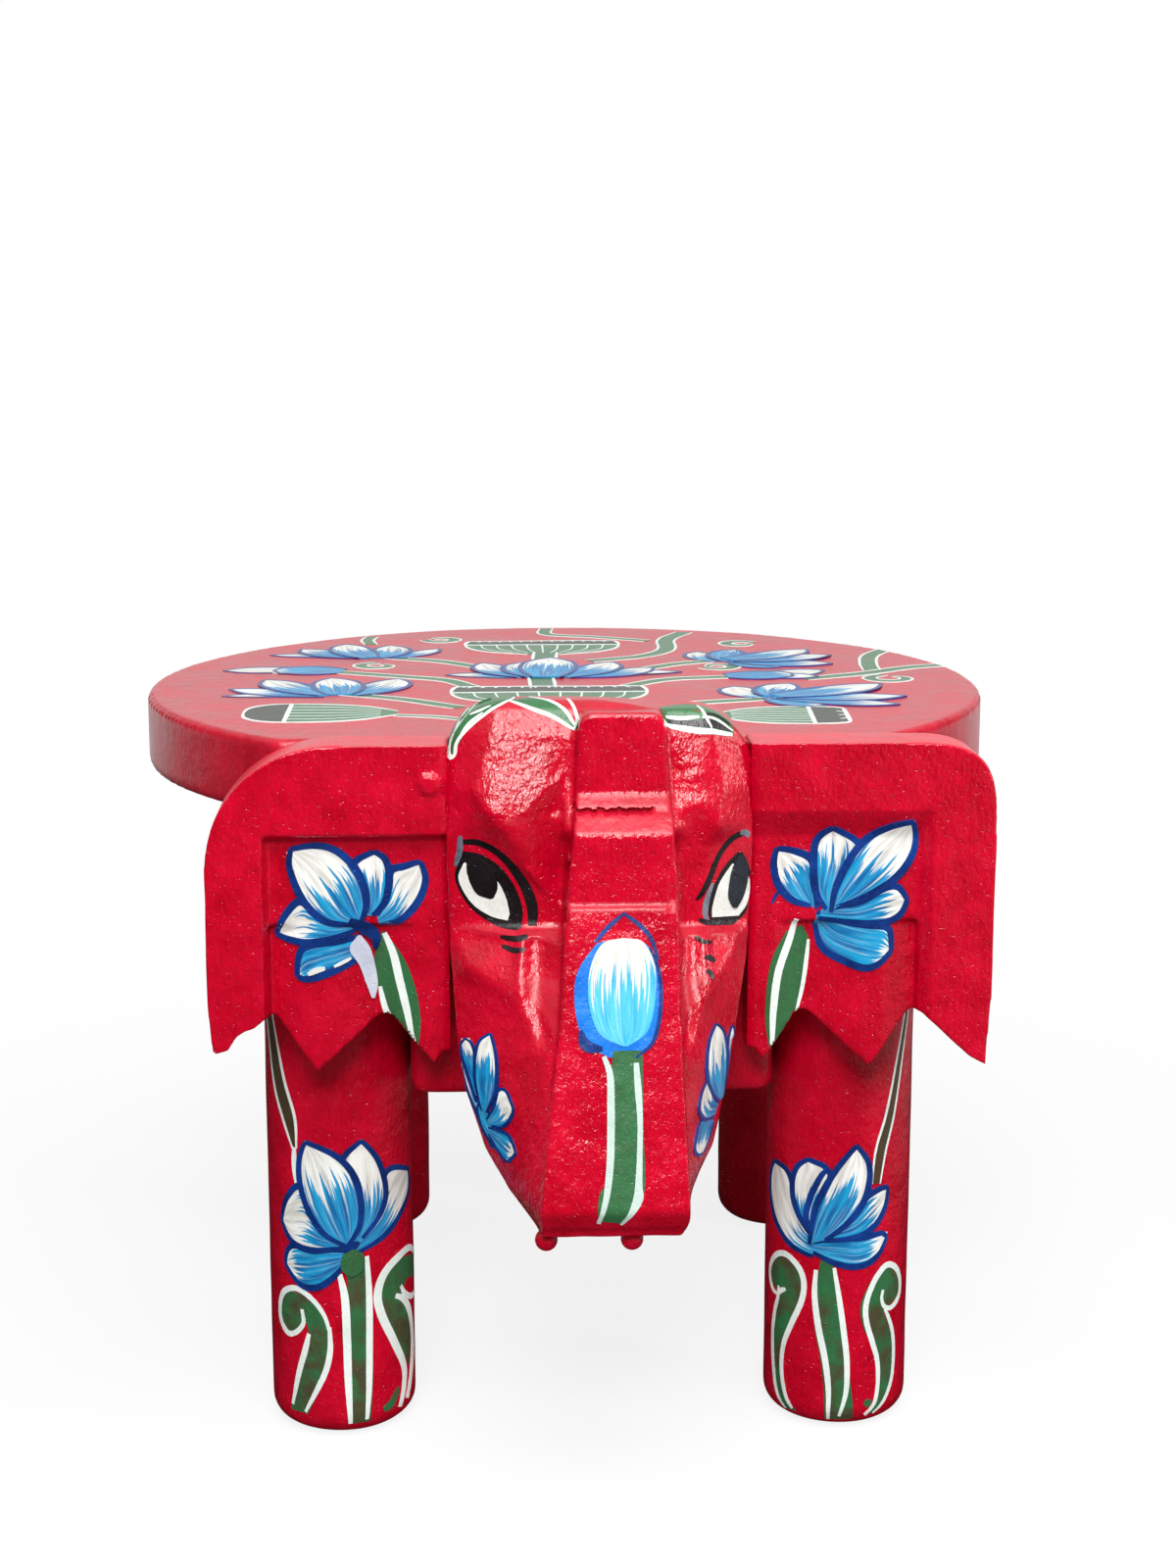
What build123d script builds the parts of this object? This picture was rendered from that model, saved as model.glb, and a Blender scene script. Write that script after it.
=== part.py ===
"""Carved elephant stool: a round seat board on four turned legs, a body block between the legs,
and at the front a carved head with a trunk and two nailed-on ears.

Millimetres, +Z up, the head faces -Y, and +X is on the right of someone who faces the head.
Shapes are drawn in the stool's working frame, whose zero is on the floor below the centre of the
seat. Head, ears, body and legs are drawn about their own middle plane, which lies body_x to the
right of the seat's centre. Everything is moved to the bottom centre of the whole stool at the end.
"""
from build123d import *
import os

# ------------------------------------------------------------------ seat board
seat_radius = 152.0
seat_thickness = 25.0
seat_top = 240.0
seat_edge_round = 1.6
front_reach = 117.5             # from the seat's centre to the plane that head and ears stand on

# ------------------------------------------------------------------ legs and body
body_x = 4.5
leg_radius = 24.6
leg_foot_round = 8.0
leg_spread = 85.0
leg_tenon_radius = 12.0
leg_tenon_length = 15.0
body_bottom = 120.5
body_corner_round = 5.0

# ------------------------------------------------------------------ head and trunk
head_left = 47.0
head_right = 50.0
dome_top = 255.0
dome_drop_right = 2.5
dome_corner = 20.0
dome_back_z = 249.0
dome_front_z = 245.0
dome_front = 23.0
brow_z = 217.0
forehead_z = 228.0
forehead_front = 27.0
brow_front = 33.0
hollow_front = 28.0
hollow_top = 211.0
hollow_bottom = 185.0
cheek_top = 182.5
cheek_front = 38.5
throat_z = 148.0
tip_z = 97.0
tip_toe_z = 106.5
tip_round = 4.0

ridge_top = 253.8
ridge_top_front = 31.0
ridge_corner = 5.0
ridge_middle = 8.0
ridge_step_z = 228.2
ridge_brow_z = 217.7
ridge_brow_front = 43.5
ridge_foot_front = 45.5
ridge_lean = 1.0
ridge_fall = 3.5
ridge_core = 34.0
tip_lip = 8.0
ridge_foot_z = 197.5
trunk_root_z = 194.2
trunk_root_front = 48.5
trunk_reach = 190.0             # from the seat's centre to the front of the trunk
strip_proud = 2.0
# front view of the ridge below its top corners: height, and how far each side reaches
ridge_sides = ((222.0, 7.0, 23.5), (198.0, 10.0, 24.9), (170.0, 11.5, 24.8), (152.0, 13.5, 25.6),
               (104.0, 18.8, 27.4), (tip_z, 17.5, 26.0))
ridge_top_sides = (5.5, 21.3)
# level cuts through the carved mass: height, left side, left and right end of the front facet,
# right side; then how far the throat and the side edges lie in front of the head's back
upper_cuts = ((258.0, head_left, 31.0, 35.0, head_right, 0.0, 9.0, 16.0),
              (dome_front_z, head_left, 33.0, 36.0, head_right, 0.0, 15.0, dome_front),
              (forehead_z, head_left, 38.0, 40.0, head_right, 0.0, 18.0, forehead_front),
              (brow_z, head_left, 28.0, 36.0, head_right, 0.0, 19.5, brow_front),
              (hollow_top, head_left, 26.0, 35.0, head_right, 0.0, 20.5, hollow_front),
              (hollow_bottom, 46.5, 22.0, 33.5, 49.0, 0.0, 21.5, hollow_front),
              (cheek_top, 46.4, 22.0, 33.5, 49.0, 0.0, 22.0, cheek_front),
              (172.0, 46.0, 25.0, 36.0, 48.0, 0.0, 23.5, 41.5))
# lower down the last value is how far the facet lies behind the trunk's long front face
lower_cuts = ((158.0, 44.5, 14.5, 25.5, 45.5, 0.0, 27.0, 5.0),
              (throat_z, 44.0, 15.0, 25.5, 44.0, 0.0, 29.5, 3.5),
              (134.0, 41.5, 16.0, 26.0, 41.0, 6.0, 34.0, strip_proud),
              (117.0, 35.5, 17.5, 26.5, 36.5, 17.0, 41.0, strip_proud),
              (tip_toe_z, 28.5, 18.5, 27.0, 29.5, 26.0, 48.0, strip_proud),
              (tip_z, 20.5, 18.0, 25.0, 26.5, 33.0, 53.0, 8.0))
kerf_z = 223.8
kerf_width = 1.6
kerf_depth = 2.5
kerf_length = 40.0

# ------------------------------------------------------------------ ears
ear_thickness = 20.0
ear_top = 241.5
ear_outer = {"left": 123.3, "right": 127.5}
ear_corner = {"left": 43.5, "right": 30.0}
ear_outer_tip = {"left": 140.0, "right": 135.5}
ear_slope_top = {"left": 1.5, "right": 8.5}
ear_slope_side = {"left": 1.5, "right": 3.5}
ear_border = 30.5
ear_middle = 89.0
ear_middle_tip = 134.0
ear_inner_tip = 136.5
ear_notch_z = 152.5
ear_notch_outer = 103.5
ear_notch_inner = 67.0
ear_notch_flat = 3.5
ear_shoulder_z = 157.0
ear_panel_depth = 4.0
ear_pleat_top = 183.0
ear_pleat_depth = 4.0

# ------------------------------------------------------------------ tail
tail_top = 207.0
tail_width = 15.0
tail_thickness = 9.0
tail_length = 62.0
tuft_width = 22.0
tuft_length = 30.0

# ------------------------------------------------------------------ fixings
seat_dowel_radius = 5.0
seat_dowel_depth = 15.0
seat_dowel_x = 36.0
seat_dowel_y = 76.0
head_dowel_radius = 6.0
head_dowel_depth = 20.0
head_dowel_x = 24.0
head_dowel_z = 170.0
nail_radius = 1.4
nail_length = 44.0
nail_head_radius = 3.2
nail_head_thickness = 1.6
nail_head_proud = 1.3
nail_seat_z = 229.0
nail_seat_inset = 4.5
nail_leg_z = 190.0
tail_nail_length = 30.0
tail_nail_drop = 15.0
pin_radius = 1.2
pin_depth = 12.0
pin_head_radius = 3.5
pin_head_drop = 2.7
pin_set_back = 8.0
pin_places = (-16.5, 9.9)

# ------------------------------------------------------------------ clearances
joint_gap = 0.15                # round a dowel or tenon
end_gap = 1.0                   # past the end of a dowel, tenon or nail
nail_gap = 0.05
side_gap = 0.4                  # glue line beside a curved or loose-fitting face

# ------------------------------------------------------------------ worked-out places
seat_bottom = seat_top - seat_thickness
front_y = -front_reach
leg_y = front_reach - leg_radius - side_gap
body_half_width = leg_spread - leg_radius - side_gap
ear_face_y = front_y - ear_thickness
trunk_front = trunk_reach - front_reach
ear_inner = {"left": head_left + side_gap, "right": head_right + side_gap}
side_sign = {"left": -1, "right": 1}
to_part_frame = Pos(0, (trunk_reach - seat_radius) / 2, 0)
to_body_middle = Pos(body_x, 0, 0)
well_past = 2 * seat_radius


# ------------------------------------------------------------------ helpers
def upright(radius, bottom, top, x, y):
    """A cylinder standing from bottom to top."""
    return Pos(x, y, (bottom + top) / 2) * Cylinder(radius, top - bottom)


def lying(radius, y_front, y_back, x, z):
    """A cylinder lying along Y."""
    return Pos(x, (y_front + y_back) / 2, z) * Rot(90, 0, 0) * Cylinder(radius, y_back - y_front)


def front_prism(face, y_front, y_back):
    """A front-view (x, z) face, extruded along Y."""
    return Pos(0, y_back, 0) * extrude(Plane.XZ * face, y_back - y_front)


def side_prism(points, half_width):
    """A side-view outline, as (distance in front of the head's back, z), extruded along X."""
    outline = Polyline(*[(front_y - front, z) for front, z in points], close=True)
    return extrude(Plane.YZ * make_face(outline), half_width, both=True)


def joined(solids):
    """Several solids kept together in one node."""
    return Compound([solid for part in solids for solid in part.solids()])


# ------------------------------------------------------------------ seat board
def seat_board():
    board = upright(seat_radius, seat_bottom, seat_top, 0, 0)
    board -= Pos(0, front_y - well_past / 2, seat_top) * Box(2 * well_past, well_past, seat_top)
    board = fillet(board.faces().sort_by(Axis.Z)[-1].edges(), seat_edge_round)
    board = fillet(board.faces().sort_by(Axis.Z)[0].edges(), seat_edge_round)
    for x, y in leg_places():
        board -= upright(leg_tenon_radius + joint_gap, seat_bottom,
                         seat_bottom + leg_tenon_length + end_gap, x + body_x, y)
    for x, y in seat_dowel_places():
        board -= upright(seat_dowel_radius + joint_gap, seat_bottom,
                         seat_bottom + seat_dowel_depth + end_gap, x + body_x, y)
    for side in side_sign:
        board -= to_body_middle * nail_hole(seat_nail_x(side), nail_seat_z)
    return board


# ------------------------------------------------------------------ legs and body
def leg_places():
    return [(x * leg_spread, y * leg_y) for y in (-1, 1) for x in (-1, 1)]


def leg(x, y):
    turned = upright(leg_radius, 0, seat_bottom, x, y)
    turned = fillet(turned.edges().sort_by(Axis.Z)[0], leg_foot_round)
    turned += upright(leg_tenon_radius, seat_bottom, seat_bottom + leg_tenon_length, x, y)
    if y < 0:
        turned -= nail_hole(x, nail_leg_z)
    return to_body_middle * turned


def seat_dowel_places():
    return [(x * seat_dowel_x, y * seat_dowel_y) for y in (-1, 1) for x in (-1, 1)]


def seat_dowels():
    pegs = [upright(seat_dowel_radius, seat_bottom - seat_dowel_depth,
                    seat_bottom + seat_dowel_depth, x, y) for x, y in seat_dowel_places()]
    return to_body_middle * joined(pegs)


def body_block():
    height = seat_bottom - body_bottom
    block = Pos(0, 0, body_bottom + height / 2) * Box(2 * body_half_width, 2 * front_reach, height)
    block = fillet(block.edges().filter_by(Axis.Z), body_corner_round)
    block = chamfer(block.faces().sort_by(Axis.Z)[0].edges(), body_corner_round / 2)
    for x, y in seat_dowel_places():
        block -= upright(seat_dowel_radius + joint_gap, seat_bottom - seat_dowel_depth - end_gap,
                         seat_bottom, x, y)
    for x in (-head_dowel_x, head_dowel_x):
        block -= lying(head_dowel_radius + joint_gap, front_y,
                       front_y + head_dowel_depth + end_gap, x, head_dowel_z)
    block -= tail_nail_hole()
    return to_body_middle * block


# ------------------------------------------------------------------ head and trunk
def trunk_face(z):
    """How far the long front face of the trunk stands in front of the head's back, at a height."""
    slope = (trunk_front - trunk_root_front) / (trunk_root_z - tip_toe_z)
    return trunk_root_front + slope * (trunk_root_z - z)


def head_section(z, left, left_front, right_front, right, throat, side, front):
    """A level cut through the head: back corners, side edges, and the front facet between."""
    outline = [(-left, -throat), (-left, -side), (-left_front, -front),
               (right_front, -front), (right, -side), (right, -throat)]
    return Pos(0, front_y, z) * make_face(Polyline(*outline, close=True))


def carved_mass():
    """Domes, eye hollows, cheeks and the sides of the trunk, from the crown down to the tip."""
    sections = [head_section(*cut) for cut in upper_cuts]
    sections += [head_section(*cut[:-1], trunk_face(cut[0]) - cut[-1]) for cut in lower_cuts]
    return loft(sections, ruled=True)


def dome_outline():
    """Front view of the two domes, open below."""
    peak_left = (-head_left, dome_top)
    peak_right = (head_right, dome_top - dome_drop_right)
    middle = (head_right - head_left) / 2
    outline = [(-head_left, 0), peak_left, (middle, dome_top),
               (middle + dome_corner, dome_top - dome_drop_right), peak_right, (head_right, 0)]
    face = make_face(Polyline(*outline, close=True))
    corners = [face.vertices().sort_by_distance(corner)[0] for corner in (peak_left, peak_right)]
    return fillet(corners, dome_corner)


def dome_profile():
    """Side view of the domes: rounded over the crown, open in front and below."""
    back = (front_y, dome_back_z)
    crown = (front_y - dome_front / 2, dome_top + 0.5)
    brow = (front_y - dome_front, dome_front_z)
    rest = Polyline(brow, (front_y - well_past, dome_front_z), (front_y - well_past, 0),
                    (front_y, 0), back)
    return extrude(Plane.YZ * make_face([ThreePointArc(back, crown, brow), rest]), well_past,
                   both=True)


def ridge():
    """The stepped ridge between the domes, running down into the front strip of the trunk."""
    step_front = ridge_top_front + ridge_lean
    chin = (trunk_front - ridge_core, tip_z)
    nape = (ridge_lean, throat_z + ridge_core)
    profile = side_prism([
        (ridge_lean, ridge_top - ridge_fall), (ridge_top_front, ridge_top),
        (step_front, ridge_step_z), (ridge_brow_front, ridge_brow_z),
        (ridge_foot_front, ridge_foot_z), (trunk_root_front, trunk_root_z),
        (trunk_front, tip_toe_z), (trunk_front - tip_lip / 3, tip_z + tip_lip / 2),
        (trunk_front - tip_lip, tip_z), chin, nape], well_past)
    levels = [(ridge_top, *ridge_top_sides), *ridge_sides]
    outline = [(right, z) for z, left, right in levels]
    outline += [(-left, z) for z, left, right in reversed(levels)]
    face = make_face(Polyline(*outline, close=True))
    face = fillet(face.vertices().group_by(Axis.Y)[-1], ridge_corner)
    face = fillet(face.vertices().group_by(Axis.Y)[0], tip_round)
    return profile & front_prism(face, front_y - well_past, front_y)


def head_block():
    head = carved_mass() & front_prism(dome_outline(), front_y - well_past, front_y)
    head &= dome_profile()
    head += ridge()
    share = (ridge_step_z - kerf_z) / (ridge_step_z - ridge_brow_z)
    step_front = ridge_top_front + ridge_lean
    ledge_y = front_y - step_front - share * (ridge_brow_front - step_front)
    kerf = Box(kerf_length, 2 * kerf_depth, kerf_width)
    head -= Pos(ridge_middle, ledge_y, kerf_z) * kerf
    for x in (-head_dowel_x, head_dowel_x):
        head -= lying(head_dowel_radius + joint_gap, front_y - head_dowel_depth - end_gap,
                      front_y, x, head_dowel_z)
    for x in pin_places:
        head -= upright(pin_radius + nail_gap, tip_z, tip_z + pin_depth + end_gap, x, pin_y())
    return to_body_middle * head


def head_dowels():
    pegs = [lying(head_dowel_radius, front_y - head_dowel_depth, front_y + head_dowel_depth,
                  x, head_dowel_z) for x in (-head_dowel_x, head_dowel_x)]
    return to_body_middle * joined(pegs)


def pin_y():
    return front_y - trunk_front + pin_set_back + pin_head_radius


def trunk_pins():
    """Two small pins with ball heads that hang under the trunk's tip."""
    pins = []
    for x in pin_places:
        ball = Pos(x, pin_y(), tip_z - pin_head_drop) * Sphere(pin_head_radius)
        ball -= Pos(x, pin_y(), tip_z + well_past / 2) * Box(well_past, well_past, well_past)
        pins.append(ball + upright(pin_radius, tip_z - pin_head_drop, tip_z + pin_depth,
                                   x, pin_y()))
    return to_body_middle * joined(pins)


# ------------------------------------------------------------------ ears
def ear_outline(side):
    """Front view of an ear: a rounded top outer corner and three pointed lobes below."""
    inner, outer = ear_inner[side], ear_outer[side]
    flat = ear_notch_flat / 2
    tip_z_outer = ear_outer_tip[side]
    points = [
        (inner, ear_top), (outer, ear_top), (outer, ear_shoulder_z), (outer - 1.5, tip_z_outer),
        (outer - 7, tip_z_outer + 3), (ear_notch_outer + flat, ear_notch_z),
        (ear_notch_outer - flat, ear_notch_z), (ear_middle, ear_middle_tip),
        (ear_notch_inner + flat, ear_notch_z), (ear_notch_inner - flat, ear_notch_z),
        (inner + 4, ear_inner_tip), (inner, ear_inner_tip + 6)]
    face = make_face(Polyline(*points, close=True))
    corner = face.vertices().sort_by_distance((outer, ear_top))[0]
    return fillet(corner, ear_corner[side])


def ear_panel(side):
    """The sunk panel inside the border, with sloping walls above and outside it."""
    inner, top = ear_inner[side] - ear_border, ear_top - ear_border

    def opening(y, slope_side, slope_top):
        width = ear_notch_outer + slope_side - inner
        height = top + slope_top
        return Pos(inner + width / 2, y, height / 2) * (Plane.XZ * Rectangle(width, height))

    mouth = opening(ear_face_y, ear_slope_side[side], ear_slope_top[side])
    return loft([mouth, opening(ear_face_y + ear_panel_depth, 0, 0)], ruled=True)


def ear_pleats(side):
    """Below the panel the lobes fold: crests at the lobes' tips, valleys at the notches."""
    crest = ear_face_y + ear_panel_depth - 1
    valley = crest + ear_pleat_depth
    inner = ear_inner[side]
    front = ear_face_y - 1
    zigzag = [(inner - 1, front), (inner - 1, crest + 1), (inner + 5, crest),
              (ear_notch_inner, valley), (ear_middle, crest), (ear_notch_outer, valley),
              (ear_notch_outer, front)]
    return extrude(make_face(Polyline(*zigzag, close=True)), ear_pleat_top)


def seat_nail_x(side):
    return side_sign[side] * (ear_inner[side] + nail_seat_inset)


def ear(side):
    board = front_prism(ear_outline(side), ear_face_y, front_y)
    board -= ear_panel(side)
    board -= ear_pleats(side)
    if side == "left":
        board = mirror(board, Plane.YZ)
    proud = nail_head_proud if side == "left" else 0
    board -= nail_hole(seat_nail_x(side), nail_seat_z)
    board -= nail_head_recess(seat_nail_x(side), nail_seat_z, ear_face_y, proud)
    leg_x = side_sign[side] * leg_spread
    board -= nail_hole(leg_x, nail_leg_z)
    board -= nail_head_recess(leg_x, nail_leg_z, ear_face_y + ear_panel_depth, 0)
    return to_body_middle * board


# ------------------------------------------------------------------ nails
def nail_hole(x, z):
    return lying(nail_radius + nail_gap, ear_face_y - 1, ear_face_y + nail_length + end_gap, x, z)


def nail_head_recess(x, z, face_y, proud):
    return lying(nail_head_radius + nail_gap, face_y - nail_head_thickness,
                 face_y + nail_head_thickness - proud, x, z)


def nail(x, z, face_y, proud, length):
    under_head = face_y + nail_head_thickness - proud
    head = lying(nail_head_radius, under_head - nail_head_thickness, under_head, x, z)
    return head + lying(nail_radius, under_head, under_head + length, x, z)


def ear_nails(side):
    """One nail into the edge of the seat board and one through the panel into the leg."""
    proud = nail_head_proud if side == "left" else 0
    length = nail_length - nail_head_thickness
    panel_y = ear_face_y + ear_panel_depth
    nails = [nail(seat_nail_x(side), nail_seat_z, ear_face_y, proud, length),
             nail(side_sign[side] * leg_spread, nail_leg_z, panel_y, 0, length - ear_panel_depth)]
    return to_body_middle * joined(nails)


# ------------------------------------------------------------------ tail
def tail_nail_z():
    return tail_top - tail_nail_drop


def tail_nail_hole():
    return lying(nail_radius + nail_gap, front_reach + tail_thickness - tail_nail_length - end_gap,
                 front_reach + tail_thickness + 1, 0, tail_nail_z())


def tail():
    """A flat hanging tail with a pointed tuft, on the back of the body block."""
    half, wide = tail_width / 2, tuft_width / 2
    tuft_top = tail_top - tail_length
    points = [(-half, tail_top), (half, tail_top), (half * 0.7, tuft_top), (wide, tuft_top - 9),
              (0, tuft_top - tuft_length), (-wide, tuft_top - 9), (-half * 0.7, tuft_top)]
    face = make_face(Polyline(*points, close=True))
    strip = front_prism(face, front_reach, front_reach + tail_thickness)
    strip = chamfer(strip.faces().sort_by(Axis.Y)[-1].edges(), tail_thickness / 4)
    strip -= tail_nail_hole()
    recess_y = front_reach + tail_thickness - nail_head_thickness
    strip -= lying(nail_head_radius + nail_gap, recess_y, recess_y + tail_thickness, 0,
                   tail_nail_z())
    return to_body_middle * strip


def tail_nail():
    back = front_reach + tail_thickness
    head = lying(nail_head_radius, back - nail_head_thickness, back, 0, tail_nail_z())
    shank = lying(nail_radius, back - tail_nail_length, back - nail_head_thickness, 0,
                  tail_nail_z())
    return to_body_middle * (head + shank)


# ------------------------------------------------------------------ the whole stool
leg_names = ("leg_front_left", "leg_front_right", "leg_rear_left", "leg_rear_right")
pieces = {"seat_board": seat_board(), "body_block": body_block(), "head_block": head_block()}
pieces.update({name: leg(x, y) for name, (x, y) in zip(leg_names, leg_places())})
pieces.update({"ear_" + side: ear(side) for side in side_sign})
pieces.update({"ear_nails_" + side: ear_nails(side) for side in side_sign})
pieces.update({"seat_dowels": seat_dowels(), "head_dowels": head_dowels(),
               "trunk_pins": trunk_pins(), "tail": tail(), "tail_nail": tail_nail()})

os.makedirs("parts", exist_ok=True)
for name, piece in pieces.items():
    export_step(to_part_frame * piece, "parts/" + name + ".step")
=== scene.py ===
"""Looks of the carved elephant stool: carved wood under brushed enamel, painted with lotuses.

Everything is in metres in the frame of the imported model: +Z up, the head faces -Y. Drawings and
the marks of tools are in millimetres: on the head and the ears across from the head's middle
line and up from the floor, on the seat from its middle, and round a leg from its outer side.
"""
import math

import bmesh
import bpy
from mathutils import Matrix, Vector, noise
from mathutils.bvhtree import BVHTree


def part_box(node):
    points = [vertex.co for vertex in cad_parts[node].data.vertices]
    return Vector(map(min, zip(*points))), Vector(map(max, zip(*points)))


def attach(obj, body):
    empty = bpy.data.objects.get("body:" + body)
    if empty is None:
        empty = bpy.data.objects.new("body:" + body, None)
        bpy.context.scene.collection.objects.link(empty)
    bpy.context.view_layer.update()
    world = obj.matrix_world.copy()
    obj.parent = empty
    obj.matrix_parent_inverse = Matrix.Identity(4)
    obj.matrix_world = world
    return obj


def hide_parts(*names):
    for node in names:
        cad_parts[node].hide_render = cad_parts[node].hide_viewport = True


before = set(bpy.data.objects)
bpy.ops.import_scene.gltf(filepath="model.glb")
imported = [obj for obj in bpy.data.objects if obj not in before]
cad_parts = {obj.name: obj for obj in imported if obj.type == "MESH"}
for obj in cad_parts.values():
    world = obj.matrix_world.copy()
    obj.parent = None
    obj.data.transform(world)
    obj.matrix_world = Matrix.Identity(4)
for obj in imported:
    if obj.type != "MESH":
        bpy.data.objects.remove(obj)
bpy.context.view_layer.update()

MM = 0.001
RIGHT, BACK, UP = (1, 0, 0), (0, 1, 0), (0, 0, 1)
MIDDLE_X = sum(corner.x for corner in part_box("body_block")) / 2     # the head's middle line

# ------------------------------------------------------------------ nodes
SMOOTH = "SMOOTHSTEP"           # a ramp that starts and ends gently
WHITE = (1, 1, 1, 1)


class Nodes:
    """An emptied node tree, with a short way to add each kind of node that is used here."""

    def __init__(self, tree):
        self.tree = tree
        tree.nodes.clear()

    def add(self, kind, inputs=None, **settings):
        """Adds a node: its type, then the values or links of its inputs, then its settings."""
        node = self.tree.nodes.new(kind)
        for key, value in settings.items():
            setattr(node, key, value)
        for key, value in (inputs or {}).items():
            if isinstance(value, bpy.types.NodeSocket):
                self.tree.links.new(value, node.inputs[key])
            else:
                node.inputs[key].default_value = value
        return node

    def place(self):
        """The place of a point in its piece's own coordinates."""
        return self.add("ShaderNodeTexCoord").outputs["Object"]

    def split(self, vector):
        return self.add("ShaderNodeSeparateXYZ", {0: vector}).outputs

    def stretch(self, vector, shares):
        return self.add("ShaderNodeVectorMath", {0: vector, 1: shares},
                        operation="MULTIPLY").outputs[0]

    def maths(self, operation, *values):
        return self.add("ShaderNodeMath", dict(enumerate(values)), operation=operation).outputs[0]

    def ramp(self, value, low, high, start=0.0, end=1.0, kind="LINEAR"):
        """Goes from start to end while a value goes from low to high."""
        ends = {"Value": value, "From Min": low, "From Max": high, "To Min": start, "To Max": end}
        return self.add("ShaderNodeMapRange", ends, interpolation_type=kind).outputs[0]

    def pattern(self, vector, scale, detail, roughness=0.5):
        """A cloudy pattern, from 0 to 1."""
        return self.add("ShaderNodeTexNoise", {"Vector": vector, "Scale": scale, "Detail": detail,
                                               "Roughness": roughness}).outputs["Fac"]

    def blend(self, share, one, other):
        """A colour between two, each given by a link or by its red, green and blue."""
        inputs = {"Factor": share}
        for key, colour in ((6, one), (7, other)):
            inputs[key] = colour if isinstance(colour, bpy.types.NodeSocket) else (*colour, 1)
        return self.add("ShaderNodeMix", inputs, data_type="RGBA").outputs[2]

    def mix(self, share, one, other):
        """A shader between two."""
        return self.add("ShaderNodeMixShader", {0: share, 1: one, 2: other}).outputs[0]

    def shine(self, kind, strength, colour=WHITE):
        """A shader that shines by itself."""
        return self.add(kind, {"Color": colour, "Strength": strength}).outputs[0]

    def surface(self, colour, roughness, height, relief, depth):
        """Ends a material with its colour, its roughness and a relief of some depth."""
        bump = self.add("ShaderNodeBump", {"Height": height, "Strength": relief,
                                           "Distance": depth})
        surface = self.add("ShaderNodeBsdfPrincipled", {"Base Color": colour,
                                                        "Roughness": roughness,
                                                        "Normal": bump.outputs[0]})
        self.add("ShaderNodeOutputMaterial", {"Surface": surface.outputs[0]})


def new_material(name):
    material = bpy.data.materials.new(name)
    material.use_nodes = True
    return material, Nodes(material.node_tree)


# ------------------------------------------------------------------ camera and stage
CAMERA_PLACE = (-0.0250, -0.8916, 0.3818)
CAMERA_AZIMUTH = -2.021
CAMERA_ELEVATION = 11.18
CAMERA_LENS = 57.78
SENSOR = 36.0
FLOOR_RADIUS = 6.0
# each lamp: its place, the point it is aimed at, its width and height, and its power in watts
LAMPS = {"window": ((-0.1, -1.35, 1.11), (0, 0, 0.15), (0.46, 0.32), 14.5),
         "skylight": ((0.05, -0.85, 1.6), (0, 0, 0.15), (1.0, 0.6), 20),
         "side_lamp": ((1.2, -0.45, 0.6), (0, 0, 0.2), (0.22, 0.5), 4)}
SOFT_LIGHT = 0.18               # strength of the light from all round
PALE_SIDES = 0.14               # how bright gloss sees the sides of the room
DIM_ROOM = 0.01                 # and what lies low down in front


def make_camera():
    data = bpy.data.cameras.new("camera")
    data.lens = CAMERA_LENS
    data.sensor_width = SENSOR
    camera = bpy.data.objects.new("camera", data)
    camera.location = CAMERA_PLACE
    camera.rotation_euler = (math.radians(90 - CAMERA_ELEVATION), 0,
                             math.radians(CAMERA_AZIMUTH))
    bpy.context.collection.objects.link(camera)
    bpy.context.scene.camera = camera


def area_light(name, place, target, size, power):
    data = bpy.data.lights.new(name, "AREA")
    data.shape = "RECTANGLE"
    data.size, data.size_y = size
    data.energy = power
    light = bpy.data.objects.new(name, data)
    light.location = place
    aim = Vector(target) - Vector(place)
    light.rotation_euler = aim.to_track_quat("-Z", "Y").to_euler()
    bpy.context.collection.objects.link(light)


def make_world():
    """Soft light from all round. The camera sees white everywhere. Gloss sees a white backdrop
    behind the stool, a white ceiling and pale sides, and a dim room low down in front."""
    world = bpy.data.worlds.new("world")
    world.use_nodes = True
    nodes = Nodes(world.node_tree)
    path = nodes.add("ShaderNodeLightPath").outputs
    heading = nodes.split(nodes.add("ShaderNodeTexCoord").outputs["Generated"])
    behind = nodes.ramp(heading["Y"], 0.4, 1.0, kind=SMOOTH)
    above = nodes.ramp(heading["Z"], 0.2, 0.85, kind=SMOOTH)
    sideways = nodes.maths("ABSOLUTE", heading["X"])
    beside = nodes.ramp(sideways, 0.3, 0.9, end=PALE_SIDES, kind=SMOOTH)
    bright = nodes.maths("MAXIMUM", behind, above)
    bright = nodes.maths("MAXIMUM", bright, beside)
    bright = nodes.maths("MAXIMUM", bright, DIM_ROOM)
    mirrored = nodes.shine("ShaderNodeBackground", bright)
    soft = nodes.shine("ShaderNodeBackground", SOFT_LIGHT, (1.0, 0.99, 0.98, 1))
    white = nodes.shine("ShaderNodeBackground", 1.0)
    lit = nodes.mix(path["Is Glossy Ray"], soft, mirrored)
    seen = nodes.maths("MAXIMUM", path["Is Camera Ray"], path["Is Transmission Ray"])
    nodes.add("ShaderNodeOutputWorld", {"Surface": nodes.mix(seen, lit, white)})
    bpy.context.scene.world = world


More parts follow.
